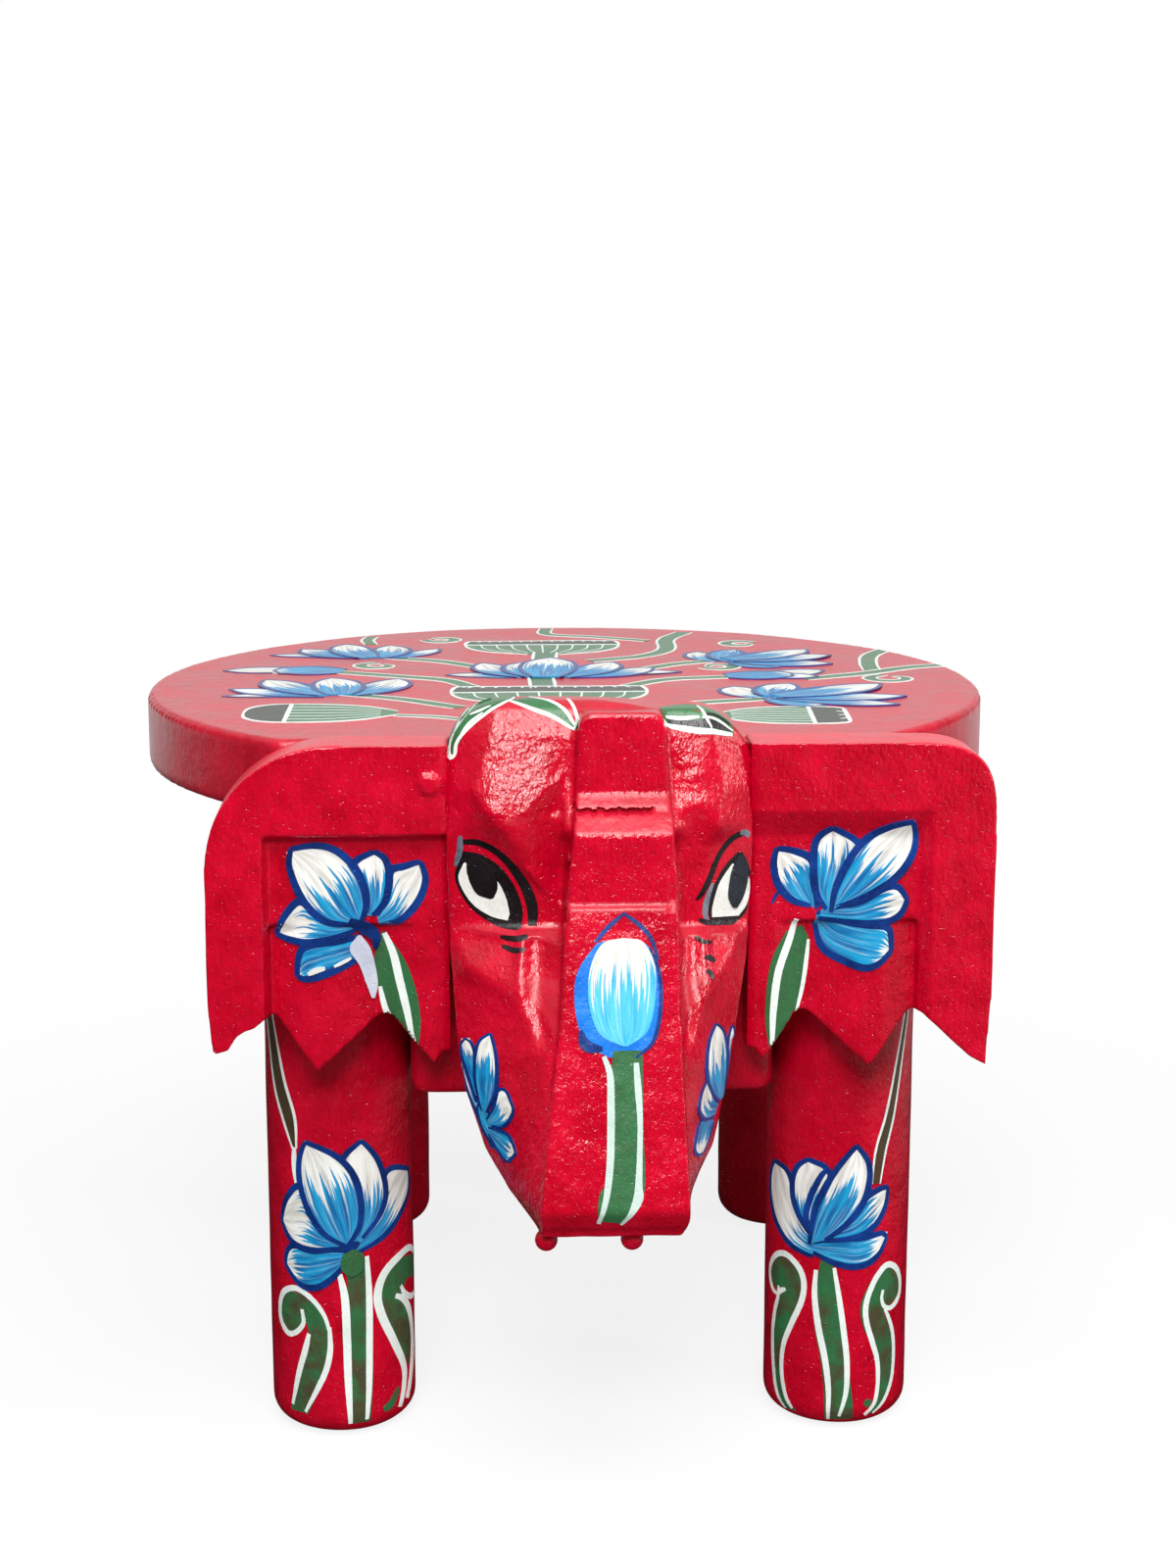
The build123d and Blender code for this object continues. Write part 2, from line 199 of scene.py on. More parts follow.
def floor_paper():
    """Pale paper that fades to pure white away from the stool and throws little light back on
    it. Gloss sees it white behind the stool, grey to the right and dim in front."""
    material, nodes = new_material("floor_paper")
    path = nodes.add("ShaderNodeLightPath").outputs
    place = nodes.place()
    distance = nodes.add("ShaderNodeVectorMath", {0: place}, operation="LENGTH").outputs["Value"]
    fade = nodes.ramp(distance, 0.15, 0.6, start=0.85, kind=SMOOTH)
    spot = nodes.split(place)
    behind = nodes.ramp(spot["Y"], 0.2, 1.2, start=DIM_ROOM, kind=SMOOTH)
    beside = nodes.ramp(spot["X"], 0.2, 0.6, end=0.5, kind=SMOOTH)
    glow = nodes.maths("MAXIMUM", behind, beside)
    tone = nodes.ramp(path["Is Diffuse Ray"], 0.0, 1.0, start=0.93, end=0.4)
    paper = nodes.add("ShaderNodeBsdfDiffuse", {"Color": tone}).outputs[0]
    white = nodes.shine("ShaderNodeEmission", 1.0)
    mirrored = nodes.shine("ShaderNodeEmission", glow)
    seen = nodes.maths("MAXIMUM", path["Is Camera Ray"], path["Is Transmission Ray"])
    faded = nodes.mix(nodes.maths("MULTIPLY", seen, fade), paper, white)
    surface = nodes.mix(path["Is Glossy Ray"], faded, mirrored)
    nodes.add("ShaderNodeOutputMaterial", {"Surface": surface})
    return material


def make_stage():
    bm = bmesh.new()
    bmesh.ops.create_circle(bm, cap_ends=True, segments=96, radius=FLOOR_RADIUS)
    floor = mesh_object("floor", bm)
    floor.data.materials.append(floor_paper())
    make_world()
    for name, lamp in LAMPS.items():
        area_light(name, *lamp)


def mesh_object(name, bm, smooth=False):
    """Turns a bmesh into an object at the origin."""
    mesh = bpy.data.meshes.new(name)
    bm.to_mesh(mesh)
    bm.free()
    if smooth:
        mesh.polygons.foreach_set("use_smooth", [True] * len(mesh.polygons))
    obj = bpy.data.objects.new(name, mesh)
    bpy.context.collection.objects.link(obj)
    return obj


# ------------------------------------------------------------------ finishes
def brushed_coat_group():
    """Brush marks and pits in hand-laid enamel: gives a shade value, a roughness and a height."""
    tree = bpy.data.node_groups.new("brushed_coat", "ShaderNodeTree")
    for name, kind, default in (("Stretch", "NodeSocketVector", (1.0, 1.0, 0.1)),
                                ("Gloss", "NodeSocketFloat", 0.25)):
        socket = tree.interface.new_socket(name, in_out="INPUT", socket_type=kind)
        socket.default_value = default
    for name in ("Shade", "Roughness", "Height"):
        tree.interface.new_socket(name, in_out="OUTPUT", socket_type="NodeSocketFloat")
    nodes = Nodes(tree)
    inputs = nodes.add("NodeGroupInput").outputs
    place = nodes.place()
    streaks = nodes.pattern(nodes.stretch(place, inputs["Stretch"]), 1100.0, 3.0, 0.6)
    dapple = nodes.pattern(nodes.stretch(place, (1, 1, 0.55)), 800.0, 2.0)
    grain = nodes.pattern(place, 1500.0, 2.0)
    lumps = nodes.pattern(place, 150.0, 2.0)
    clouds = nodes.pattern(place, 60.0, 5.0, 0.7)
    pits = nodes.ramp(nodes.pattern(place, 820.0, 1.0), 0.66, 0.74, end=-0.5)
    height = pits
    for marks, share in ((streaks, 0.08), (grain, 0.3), (dapple, 0.7), (lumps, 1.5)):
        height = nodes.maths("MULTIPLY_ADD", marks, share, height)
    shade = nodes.ramp(nodes.maths("MULTIPLY_ADD", streaks, 0.35, clouds), 0.48, 0.86)
    rough = nodes.maths("MULTIPLY_ADD", clouds, 0.2, inputs["Gloss"])
    nodes.add("NodeGroupOutput", {"Shade": shade, "Roughness": rough, "Height": height})
    return tree


def enamel(name, dark, light, run, gloss, relief, stain=None):
    """Gloss enamel brushed on carved wood, between a darker and a lighter tone. Its brush marks
    run as told, and a lower gloss value shines more. The colour below may show through in
    patches as a stain."""
    material, nodes = new_material(name)
    coat = nodes.add("ShaderNodeGroup", {"Stretch": run, "Gloss": gloss},
                     node_tree=coat_group).outputs
    colour = nodes.blend(coat["Shade"], dark, light)
    if stain:
        patches = nodes.ramp(nodes.pattern(nodes.place(), 90.0, 4.0, 0.6), 0.44, 0.6, end=0.85)
        colour = nodes.blend(patches, colour, stain)
    nodes.surface(colour, coat["Roughness"], coat["Height"], relief, 0.5 * MM)
    return material


def petal_enamel(name, deep, bright, sky):
    """Petal paint: blue at the root, drawn out into white towards the tip by a dry brush."""
    material, nodes = new_material(name)
    brush = nodes.add("ShaderNodeAttribute", attribute_name="brush").outputs["Vector"]
    across, along, white = nodes.split(brush)
    bristles = nodes.add("ShaderNodeCombineXYZ", {0: across, 1: along}).outputs[0]
    streaks = nodes.pattern(nodes.stretch(bristles, (1.0, 1.3, 0)), 1.0, 3.0, 0.6)
    patches = nodes.pattern(nodes.stretch(bristles, (0.45, 2.2, 0)), 1.0, 2.0)
    ragged = nodes.maths("MULTIPLY_ADD", streaks, 1.3, nodes.maths("ADD", along, white))
    whiteness = nodes.ramp(ragged, 1.65, 1.73, kind=SMOOTH)
    mottled = nodes.ramp(patches, 0.36, 0.62)
    thin = nodes.ramp(streaks, 0.5, 0.64, end=0.45)
    streaked = nodes.blend(thin, nodes.blend(mottled, deep, bright), sky)
    cream = nodes.blend(mottled, (0.68, 0.67, 0.61), (0.95, 0.96, 0.92))
    coat = nodes.add("ShaderNodeGroup", {"Gloss": 0.3}, node_tree=coat_group).outputs
    nodes.surface(nodes.blend(whiteness, streaked, cream), coat["Roughness"],
                  nodes.maths("ADD", streaks, coat["Height"]), 0.4, 0.3 * MM)
    return material


coat_group = brushed_coat_group()
UPRIGHT = (1.0, 1.0, 0.15)      # brush marks that run up a piece
FRONT_TO_BACK = (1.0, 0.08, 1.0)
EVEN = (1.0, 1.0, 1.0)
upright_enamel = enamel("upright_enamel", (0.43, 0.0, 0.011), (0.66, 0.0005, 0.025), UPRIGHT,
                        0.07, 0.8)
seat_enamel = enamel("seat_enamel", (0.42, 0.002, 0.014), (0.62, 0.006, 0.032), FRONT_TO_BACK,
                     0.22, 0.4)
# a lighter copy of the red enamel for the ears' level tops: painted light, for the light that falls
# on them from above
ear_top_painted_light = enamel("ear_top_painted_light", (0.58, 0.003, 0.020), (0.80, 0.008, 0.042),
                        FRONT_TO_BACK, 0.24, 0.4)
bare_wood = enamel("bare_wood", (0.30, 0.18, 0.09), (0.47, 0.32, 0.18), UPRIGHT, 0.5, 0.5)
petal_blue = petal_enamel("petal_blue", (0.001, 0.13, 0.38), (0.002, 0.35, 0.66),
                          (0.34, 0.60, 0.78))
bud_blue = petal_enamel("bud_blue", (0.01, 0.42, 0.80), (0.10, 0.60, 0.90), (0.30, 0.74, 0.92))
line_blue = enamel("line_blue", (0.000, 0.011, 0.09), (0.000, 0.048, 0.31), EVEN, 0.25, 0.4)
cup_blue = enamel("cup_blue", (0.001, 0.14, 0.64), (0.002, 0.24, 0.84), UPRIGHT, 0.25, 0.5)
leaf_green = enamel("leaf_green", (0.040, 0.12, 0.042), (0.028, 0.18, 0.062), UPRIGHT, 0.25, 0.5)
worn_green = enamel("worn_green", (0.038, 0.12, 0.042), (0.026, 0.19, 0.065), UPRIGHT, 0.25, 0.5,
                    stain=(0.085, 0.055, 0.028))
leaf_brown = enamel("leaf_brown", (0.085, 0.030, 0.016), (0.070, 0.060, 0.026), UPRIGHT, 0.3, 0.5)
leaf_dark = enamel("leaf_dark", (0.010, 0.012, 0.010), (0.05, 0.06, 0.045), EVEN, 0.3, 0.4)
pale_mint = enamel("pale_mint", (0.78, 0.88, 0.82), (0.93, 0.98, 0.95), EVEN, 0.3, 0.4)
trunk_mint = enamel("trunk_mint", (0.53, 0.67, 0.61), (0.64, 0.75, 0.70), EVEN, 0.3, 0.4)
pale_lilac = enamel("pale_lilac", (0.52, 0.56, 0.68), (0.74, 0.77, 0.85), EVEN, 0.3, 0.4)
smoke_grey = enamel("smoke_grey", (0.05, 0.06, 0.09), (0.24, 0.27, 0.33), EVEN, 0.3, 0.4)
eye_black = enamel("eye_black", (0.004, 0.003, 0.004), (0.016, 0.010, 0.012), EVEN, 0.2, 0.5)
pupil_black = enamel("pupil_black", (0.008, 0.009, 0.012), (0.022, 0.028, 0.040), EVEN, 0.2, 0.5)
eye_white = enamel("eye_white", (0.70, 0.70, 0.65), (0.88, 0.89, 0.85), EVEN, 0.3, 0.4)


# ------------------------------------------------------------------ carved wood
WELD = 1e-6                     # points nearer than this are one point
FRONT = -0.15                   # wood whose normal has a lower Y than this looks forward
LEVEL = 0.5                     # wood whose normal has a higher Z than this lies level
SUNK = 0.85                     # share of the lumps' height that lies inside the wood
KERF_WANDER = ((0.8, 0.5), (0.5, 1.7))      # a saw cut's waves: height and pace, in millimetres
KERF_BAND = 1.5                 # how much further than its width the cut's fine facets reach


def fix_modifiers(obj):
    """Bakes an object's modifiers into its mesh."""
    graph = bpy.context.evaluated_depsgraph_get()
    mesh = bpy.data.meshes.new_from_object(obj.evaluated_get(graph))
    obj.modifiers.clear()
    obj.data = mesh
    mesh.name = obj.name


def lump_texture(name, size):
    texture = bpy.data.textures.new(name, "CLOUDS")
    texture.noise_scale = size
    texture.noise_depth = 1
    return texture


def carved(name, nodes, material, grain, softness, lump, lump_size, top=None):
    """A wooden piece as it is after carving and painting. It follows the model's own nodes, with
    nails painted over. The grain is the length of its facets, its softness says how often its
    edges are rounded, and lumps make its faces uneven, with lengths in millimetres. Its level
    top may have a finish of its own."""
    bm = bmesh.new()
    for node in nodes:
        bm.from_mesh(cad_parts[node].data)
    bmesh.ops.remove_doubles(bm, verts=bm.verts, dist=WELD)
    obj = mesh_object(name, bm)
    remesh = obj.modifiers.new("even_faces", "REMESH")
    remesh.mode = "VOXEL"
    remesh.voxel_size = grain * MM
    soften = obj.modifiers.new("soft_edges", "SMOOTH")
    soften.factor = 0.5
    soften.iterations = softness
    uneven = obj.modifiers.new("uneven", "DISPLACE")
    uneven.texture = lump_texture(name + "_lumps", lump_size * MM)
    uneven.texture_coords = "LOCAL"
    uneven.strength = lump * MM
    uneven.mid_level = SUNK
    fix_modifiers(obj)
    obj.data.polygons.foreach_set("use_smooth", [True] * len(obj.data.polygons))
    obj.data.materials.clear()
    obj.data.materials.append(material)
    # on the ears the level top takes a lighter copy of the red, which is painted light from above
    if top:
        obj.data.materials.append(top)
        obj.data.polygons.foreach_set("material_index", [int(face.normal.z > LEVEL)
                                                         for face in obj.data.polygons])
    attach(obj, "root")
    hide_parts(*nodes)
    return obj


def from_middle(vert):
    """How far a point lies to the right of the middle line, in millimetres."""
    return (vert.co.x - MIDDLE_X) / MM


def chisel(piece, outline, start, place, fall, lean, soft):
    """Cuts a flat into the front of a piece. Its outline runs anticlockwise, seen from the
    front. At the height start on the middle line the flat lies at the front-back place; it comes
    forward by fall for each millimetre down and goes back by lean for each millimetre to the
    right. It runs out softly over the last millimetres inside its outline."""
    corners = [Vector(corner) for corner in outline]
    for vert in piece.data.vertices:
        if vert.normal.y > FRONT:
            continue
        spot = Vector((from_middle(vert), vert.co.z / MM))
        inside = min((there - here).normalized().cross(spot - here)
                     for here, there in zip(corners, corners[1:] + corners[:1]))
        if inside <= 0:
            continue
        share = min(inside / soft, 1.0)
        share = share * share * (3 - 2 * share)
        flat = (place - fall * (start - spot.y) + lean * spot.x) * MM
        vert.co.y += (flat - vert.co.y) * share


def smooth_some(piece, chosen, rounds, **how):
    """Smooths the chosen points of a piece a number of times."""
    bm = bmesh.new()
    bm.from_mesh(piece.data)
    some = [vert for vert in bm.verts if chosen(vert)]
    for _ in range(rounds):
        bmesh.ops.smooth_vert(bm, verts=some, **how)
    bm.to_mesh(piece.data)
    bm.free()


def wear(piece, left, right, low, high, rounds):
    """Wears down the edges in one part of the front of a piece, given by its sides."""
    def worn(vert):
        return (vert.normal.y < FRONT and left < from_middle(vert) < right
                and low < vert.co.z / MM < high)

    smooth_some(piece, worn, rounds, factor=0.8, use_axis_y=True)


def round_over(piece, left, right, low, front, rounds):
    """Rounds over what lies above a height and in front of a place, between two places across."""
    def worn(vert):
        return (left < from_middle(vert) < right and vert.co.z / MM > low
                and vert.co.y / MM < front)

    smooth_some(piece, worn, rounds, factor=0.5, use_axis_x=True, use_axis_y=True,
                use_axis_z=True)


def fill_corner(piece, side, outer, top, radius, fullness):
    """Makes the rounded top corner of an ear fuller: a fullness of 2 leaves it round."""
    for vert in piece.data.vertices:
        out = (side * (vert.co.x - MIDDLE_X) - outer) / radius + 1
        up = (vert.co.z - top) / radius + 1
        if out > 0 and up > 0:
            reach = math.hypot(out, up)
            full = ((out / reach) ** fullness + (up / reach) ** fullness) ** (-1 / fullness)
            grow = (full - 1) * min(reach, 1) ** 4
            vert.co.x += side * out * grow * radius
            vert.co.z += up * grow * radius


def shave_side(piece, radius, depth):
    """Planes down the right side of a round board."""
    for vert in piece.data.vertices:
        vert.co.x -= depth * max(vert.co.x / radius, 0) ** 4


def chip(piece, side, break_line):
    """Breaks off the tip of an ear on one side: nothing stays below a line of places."""
    for vert in piece.data.vertices:
        out = side * from_middle(vert)
        for (near, low), (far, high) in zip(break_line, break_line[1:]):
            if near <= out < far:
                limit = low + (high - low) * (out - near) / (far - near)
                vert.co.z = max(vert.co.z, limit * MM)


def groove(piece, left, right, height, width, depth):
    """Saws a narrow, slightly ragged slot into the front of a piece, between two places across."""
    def near(vert, reach):
        here = from_middle(vert)
        wander = sum(rise * noise.noise((pace * here, 0, 0)) for rise, pace in KERF_WANDER)
        return (left < here < right and abs(vert.co.z / MM - height - wander) < reach
                and vert.normal.y < FRONT)

    bm = bmesh.new()
    bm.from_mesh(piece.data)
    band = [edge for edge in bm.edges if all(near(vert, width + KERF_BAND) for vert in edge.verts)]
    bmesh.ops.subdivide_edges(bm, edges=band, cuts=3, use_grid_fill=True)
    bm.normal_update()
    for vert in bm.verts:
        if near(vert, width / 2):
            vert.co.y += depth * MM
    bm.to_mesh(piece.data)
    bm.free()


def snug(piece, side_x, overlap, reach):
    """Draws the edge of a piece that lies within reach of a side plane up against the plane."""
    for vert in piece.data.vertices:
        if abs(vert.co.x - side_x) < reach:
            vert.co.x = side_x + overlap


# ------------------------------------------------------------------ brushwork
LIFT = 0.12 * MM                # height of the first coat above the wood
COAT = 0.055 * MM               # height of each further coat
PAINT_DEPTH = 0.5 * MM          # how far a mark goes down into the wood
PAINT_EDGE = 50                 # the angle past which the rim of a mark stays sharp, in degrees
FACET = 1.1                     # length of the facets of a mark, in millimetres
HAIR = 0.15                     # the narrowest line that the brush draws, in millimetres
NEXT_BRISTLES = 23.7            # how far the bristle pattern moves on from mark to mark
BRUSH_REACH = 0.5               # the brush starts this far off a flat face, in metres
LEG_REACH = 0.1                 # and this far off the middle of a leg
NEARBY = 0.01                   # share of a mark's length that gives its direction at a place


def smooth_point(points, share):
    """The value at a share, 0 to 1, of the smooth line through a list of places or widths."""
    spans = len(points) - 1
    span = min(int(share * spans), spans - 1)
    step = share * spans - span
    here, there = points[span], points[span + 1]
    before = points[span - 1] if span else 2 * here - there
    after = points[span + 2] if span + 2 <= spans else 2 * there - here
    return 0.5 * (2 * here + (there - before) * step
                  + (2 * before - 5 * here + 4 * there - after) * step ** 2
                  + (3 * here - 3 * there + after - before) * step ** 3)


def even_steps(points, parts=8):
    """The values at even steps along the smooth line through a list of places."""
    return [smooth_point(points, i / parts) for i in range(parts + 1)]


class Face:
    """One painted side of a carved piece. A drawing on it has two coordinates in millimetres,
    across and up, and it lands on the wood that lies under it."""

    def __init__(self, piece, origin, across, up):
        self.origin = Vector(origin)
        self.across, self.up = Vector(across).normalized(), Vector(up).normalized()
        self.outward = self.across.cross(self.up)
        bm = bmesh.new()
        bm.from_mesh(piece.data)
        self.wood = BVHTree.FromBMesh(bm)
        bm.free()

    def aim(self, spot):
        start = self.origin + (self.across * spot.x + self.up * spot.y) * MM
        return start + self.outward * BRUSH_REACH, -self.outward

    def land(self, spot, lift):
        start, inward = self.aim(spot)
        place, normal, _, _ = self.wood.ray_cast(start, inward)
        if place is None:
            place, normal, _, _ = self.wood.find_nearest(start + inward * BRUSH_REACH)
        return place + (normal - inward).normalized() * lift


class RoundFace(Face):
    """The side of a round leg: across goes round it from its middle line, up is height."""

    def __init__(self, piece, axis, radius, front):
        super().__init__(piece, (axis.x, axis.y, 0), (-front.y, front.x, 0), UP)
        self.radius = radius

    def aim(self, spot):
        turn = Matrix.Rotation(spot.x * MM / self.radius, 3, "Z")
        outward = turn @ self.outward
        return self.origin + Vector((0, 0, spot.y * MM)) + outward * LEG_REACH, -outward


class Mark:
    """One mark of the brush: a smooth line on a face, its width along it in millimetres, the
    coat it belongs to, and how far its white reaches down from its far end, 0 to 1."""

    def __init__(self, line, widths, coat=0, white=0.5):
        self.line = [Vector(place) for place in line]
        self.widths = [float(width) for width in widths]
        self.coat = coat
        self.white = white

    def spot(self, across, along):
        ahead = (smooth_point(self.line, min(along + NEARBY, 1))
                 - smooth_point(self.line, max(along - NEARBY, 0)))
        side = Vector((ahead.y, -ahead.x)).normalized()
        half_width = max(smooth_point(self.widths, along), HAIR) / 2
        return smooth_point(self.line, along) + side * across * half_width

    def length(self):
        places = even_steps(self.line)
        return sum((there - here).length for here, there in zip(places, places[1:]))

    def edge(self, side, width, coat, end=1.0, tip=0.6):
        """The mark that lines one edge of this one, left -1 or right 1, from its root to the
        share end of its length. At that end it keeps the share tip of its width."""
        line = [self.spot(side, end * i / 10) for i in range(11)]
        return Mark(line, [width * share for share in (0.6, 1, 1.1, 1, tip)], coat)

    def draw(self, bm, face, number):
        """Lays the mark on a face as a patch of its own."""
        columns = max(2, round(max(self.widths) / FACET))
        rows = max(4, round(self.length() / FACET))
        patch = bmesh.ops.create_grid(bm, x_segments=columns, y_segments=rows, size=0.5)
        brush = bm.verts.layers.float_vector["brush"]
        lift = LIFT + COAT * self.coat
        width = max(self.widths)
        for vert in patch["verts"]:
            across, along = vert.co.x * 2, min(max(vert.co.y + 0.5, 0), 1)
            vert[brush] = (across * width / 2 + NEXT_BRISTLES * number, along, self.white)
            vert.co = face.land(self.spot(across, along), lift)


class Shape(Mark):
    """A mark given by its two long edges, both drawn from its root to its tip."""

    def __init__(self, one, other, coat=0, white=0.5):
        self.sides = [[Vector(place) for place in side] for side in (one, other)]
        steps = [even_steps(side) for side in self.sides]
        line = [(here + there) / 2 for here, there in zip(*steps)]
        if (line[-1] - line[0]).cross(steps[1][4] - steps[0][4]) > 0:
            self.sides.reverse()
        widths = [(there - here).length for here, there in zip(*steps)]
        super().__init__(line, widths, coat, white)

    def spot(self, across, along):
        left, right = (smooth_point(side, along) for side in self.sides)
        return left.lerp(right, (across + 1) / 2)


def stroke(width, *line, coat=1):
    """A plain stroke of the brush, a little narrower at both ends."""
    return Mark(line, [width * share for share in (0.65, 1, 1.05, 0.95, 0.55)], coat)


def paint(name, face, marks, material):
    """A thin piece of hand-laid enamel made of brush marks."""
    bm = bmesh.new()
    bm.verts.layers.float_vector.new("brush")
    for number, mark in enumerate(marks):
        mark.draw(bm, face, number)
    piece = mesh_object(name, bm, smooth=True)
    thickness = piece.modifiers.new("thickness", "SOLIDIFY")
    thickness.thickness = PAINT_DEPTH
    thickness.offset = -1
    fix_modifiers(piece)
    piece.data.set_sharp_from_angle(angle=math.radians(PAINT_EDGE))
    piece.data.materials.append(material)
    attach(piece, "root")


def petal(base, tip, width, bend=0.0, coat=0, white=0.5, point=0.1):
    """A pointed lotus petal, bent sideways by some millimetres."""
    base, tip = Vector(base), Vector(tip)
    ahead = (tip - base).normalized()
    middle = (base + tip) / 2 + Vector((ahead.y, -ahead.x)) * bend
    return Mark((base, middle, tip),
                [width * share for share in (0.5, 0.82, 0.99, 0.98, 0.76, point)], coat, white)


def oval(foot, head, width, coat=0, white=0.5):
    """A rounded mark between its two ends."""
    return Mark((foot, head),
                [width * share for share in (0.1, 0.75, 0.94, 1, 0.94, 0.75, 0.1)], coat, white)


def lotus(name, face, petals, line=1.8):
    """A lotus flower: each petal laid over the one before it, and lined in dark blue."""
    fills, lines = [], []
    for number, shape in enumerate(petals):
        shape.coat = 2 * number
        fills.append(shape)
        for side in (-1, 1):
            outline = shape.edge(side, line, 2 * number + 1, tip=0.75)
            outline.line[-1] = shape.line[-1]
            lines.append(outline)
    paint(name + "_petals", face, fills, petal_blue)
    paint(name + "_lines", face, lines, line_blue)


def greenery(name, face, leaves, strokes=(), line=1.1, lined=False, finishes=None):
    """Stems and leaves, and the pale strokes on them or along their edges. The finishes are
    those of the leaves and of the strokes: plain green and pale mint if none are given."""
    leaf_finish, edge_finish = finishes or (leaf_green, pale_mint)
    edges = list(strokes)
    for leaf in leaves if lined else ():
        edges += [leaf.edge(-1, line, leaf.coat + 1), leaf.edge(1, line, leaf.coat + 1)]
    paint(name + "_leaves", face, leaves, leaf_finish)
    if edges:
        paint(name + "_edges", face, edges, edge_finish)


# ------------------------------------------------------------------ painted legs
WORN_LEAF = (worn_green, pale_mint)
BROWN_BLADE = (leaf_brown, pale_mint)


def paint_left_leg(name, face):
    lotus(name + "_lotus", face, [
        Shape(((3.5, 69), (11, 78), (15.5, 88), (20, 93), (30.5, 90)),
              ((6, 65.8), (17.5, 70.5), (25, 76), (31, 82), (31.3, 89)), white=0.62),
        Shape(((5, 69), (4, 80), (0.5, 92), (3, 100), (8.5, 104.8)),
              ((8.5, 71), (15.5, 78.5), (17.7, 86), (15, 96.5), (9.2, 105)), white=0.6),
        Shape(((2, 62), (-2, 57.3), (-7, 54), (-13, 54), (-19.3, 59)),
              ((3, 67), (-4, 68), (-12, 68), (-17.5, 66.5), (-20.3, 61)), white=0.3),
        Shape(((3, 68.5), (-4, 67.4), (-10, 67), (-16.5, 69), (-21, 74.5)),
              ((3, 69), (-6, 80), (-12, 89), (-18, 84), (-21.3, 76)), white=0.55),
        Shape(((3, 69), (-4, 73), (-9.5, 81), (-12.5, 91), (-12.3, 99), (-10.3, 104.3)),
              ((3.5, 69), (7.7, 76), (8, 86), (5.3, 94.5), (-0.5, 100.8), (-9.8, 104.8)),
              white=0.5)], line=2.1)
    paint(name + "_root", face, [oval((1.5, 67.3), (7.5, 69.8), 2.6, 12)], line_blue)
    greenery(name + "_stem", face,
             [Shape(((2, 62), (3.3, 55), (2.6, 40), (2.4, 22), (2.6, 5)),
                    ((8.5, 66), (11, 52), (11.2, 38), (11.6, 22), (10.4, 5))),
              oval((4.6, 58), (5.6, 67.6), 8, 13)],
             [stroke(2.6, (0.7, 58.8), (2.3, 50), (2.7, 36), (2.9, 20), (3.4, 5)),
              stroke(2.3, (10, 64.3), (10.6, 50), (10.4, 32), (10, 18), (9.1, 6))],
             finishes=WORN_LEAF)
    greenery(name + "_curls", face,
             [Shape(((-19, 8), (-14.5, 22), (-11, 33), (-11.5, 41), (-17, 46)),
                    ((-11.5, 8), (-5, 22), (-3, 36), (-6, 46), (-14, 52))),
              oval((-18, 36), (-17.5, 51.3), 12.6),
              Shape(((28.3, 20), (22, 32), (16, 43), (15.5, 53), (24, 59.5), (37, 57)),
                    ((29.3, 20), (31.5, 32), (28, 41), (25, 46), (29, 51), (38, 48))),
              stroke(3, (15.5, 8), (19, 9.5), (22.5, 14), coat=0)],
             [stroke(2, (-13, 45.3), (-12.6, 40.3), (-16, 36.3), (-20, 35.4), (-23.6, 39),
                     (-23.8, 44.5), (-21.5, 49.3), (-17.5, 51.8), (-13.5, 52), (-8.5, 49),
                     (-4.8, 44), (-3, 38)),
              stroke(1.9, (-3.1, 40), (-3, 32), (-4.6, 24.5), (-8, 17), (-12.5, 8.5)),
              stroke(2.1, (-10.4, 37), (-12, 31), (-14.7, 22.5), (-18, 10)),
              stroke(3, (23.2, 6.5), (25.6, 14), (25.4, 21), (20.3, 31.5), (15.3, 42),
                     (13.8, 50), (16.8, 57), (23.5, 60.8), (31, 61.3), (38, 57)),
              stroke(3, (27.5, 8), (31, 16), (32.8, 25), (32, 33), (29.4, 40), (25.5, 45),
                     (21.5, 47.4)),
              stroke(2, (24.3, 50), (26.8, 46.3), (32, 43.4), (38, 42.6))],
             finishes=WORN_LEAF)
    greenery(name + "_blade", face,
             [Mark(((-27, 146), (-22, 125), (-17, 112), (-14.6, 101.5)), (5, 6.2, 5.6, 1.5))],
             [stroke(1.9, (-14.8, 102), (-14.9, 96), (-14.2, 89.5))], line=1.1, lined=True,
             finishes=BROWN_BLADE)


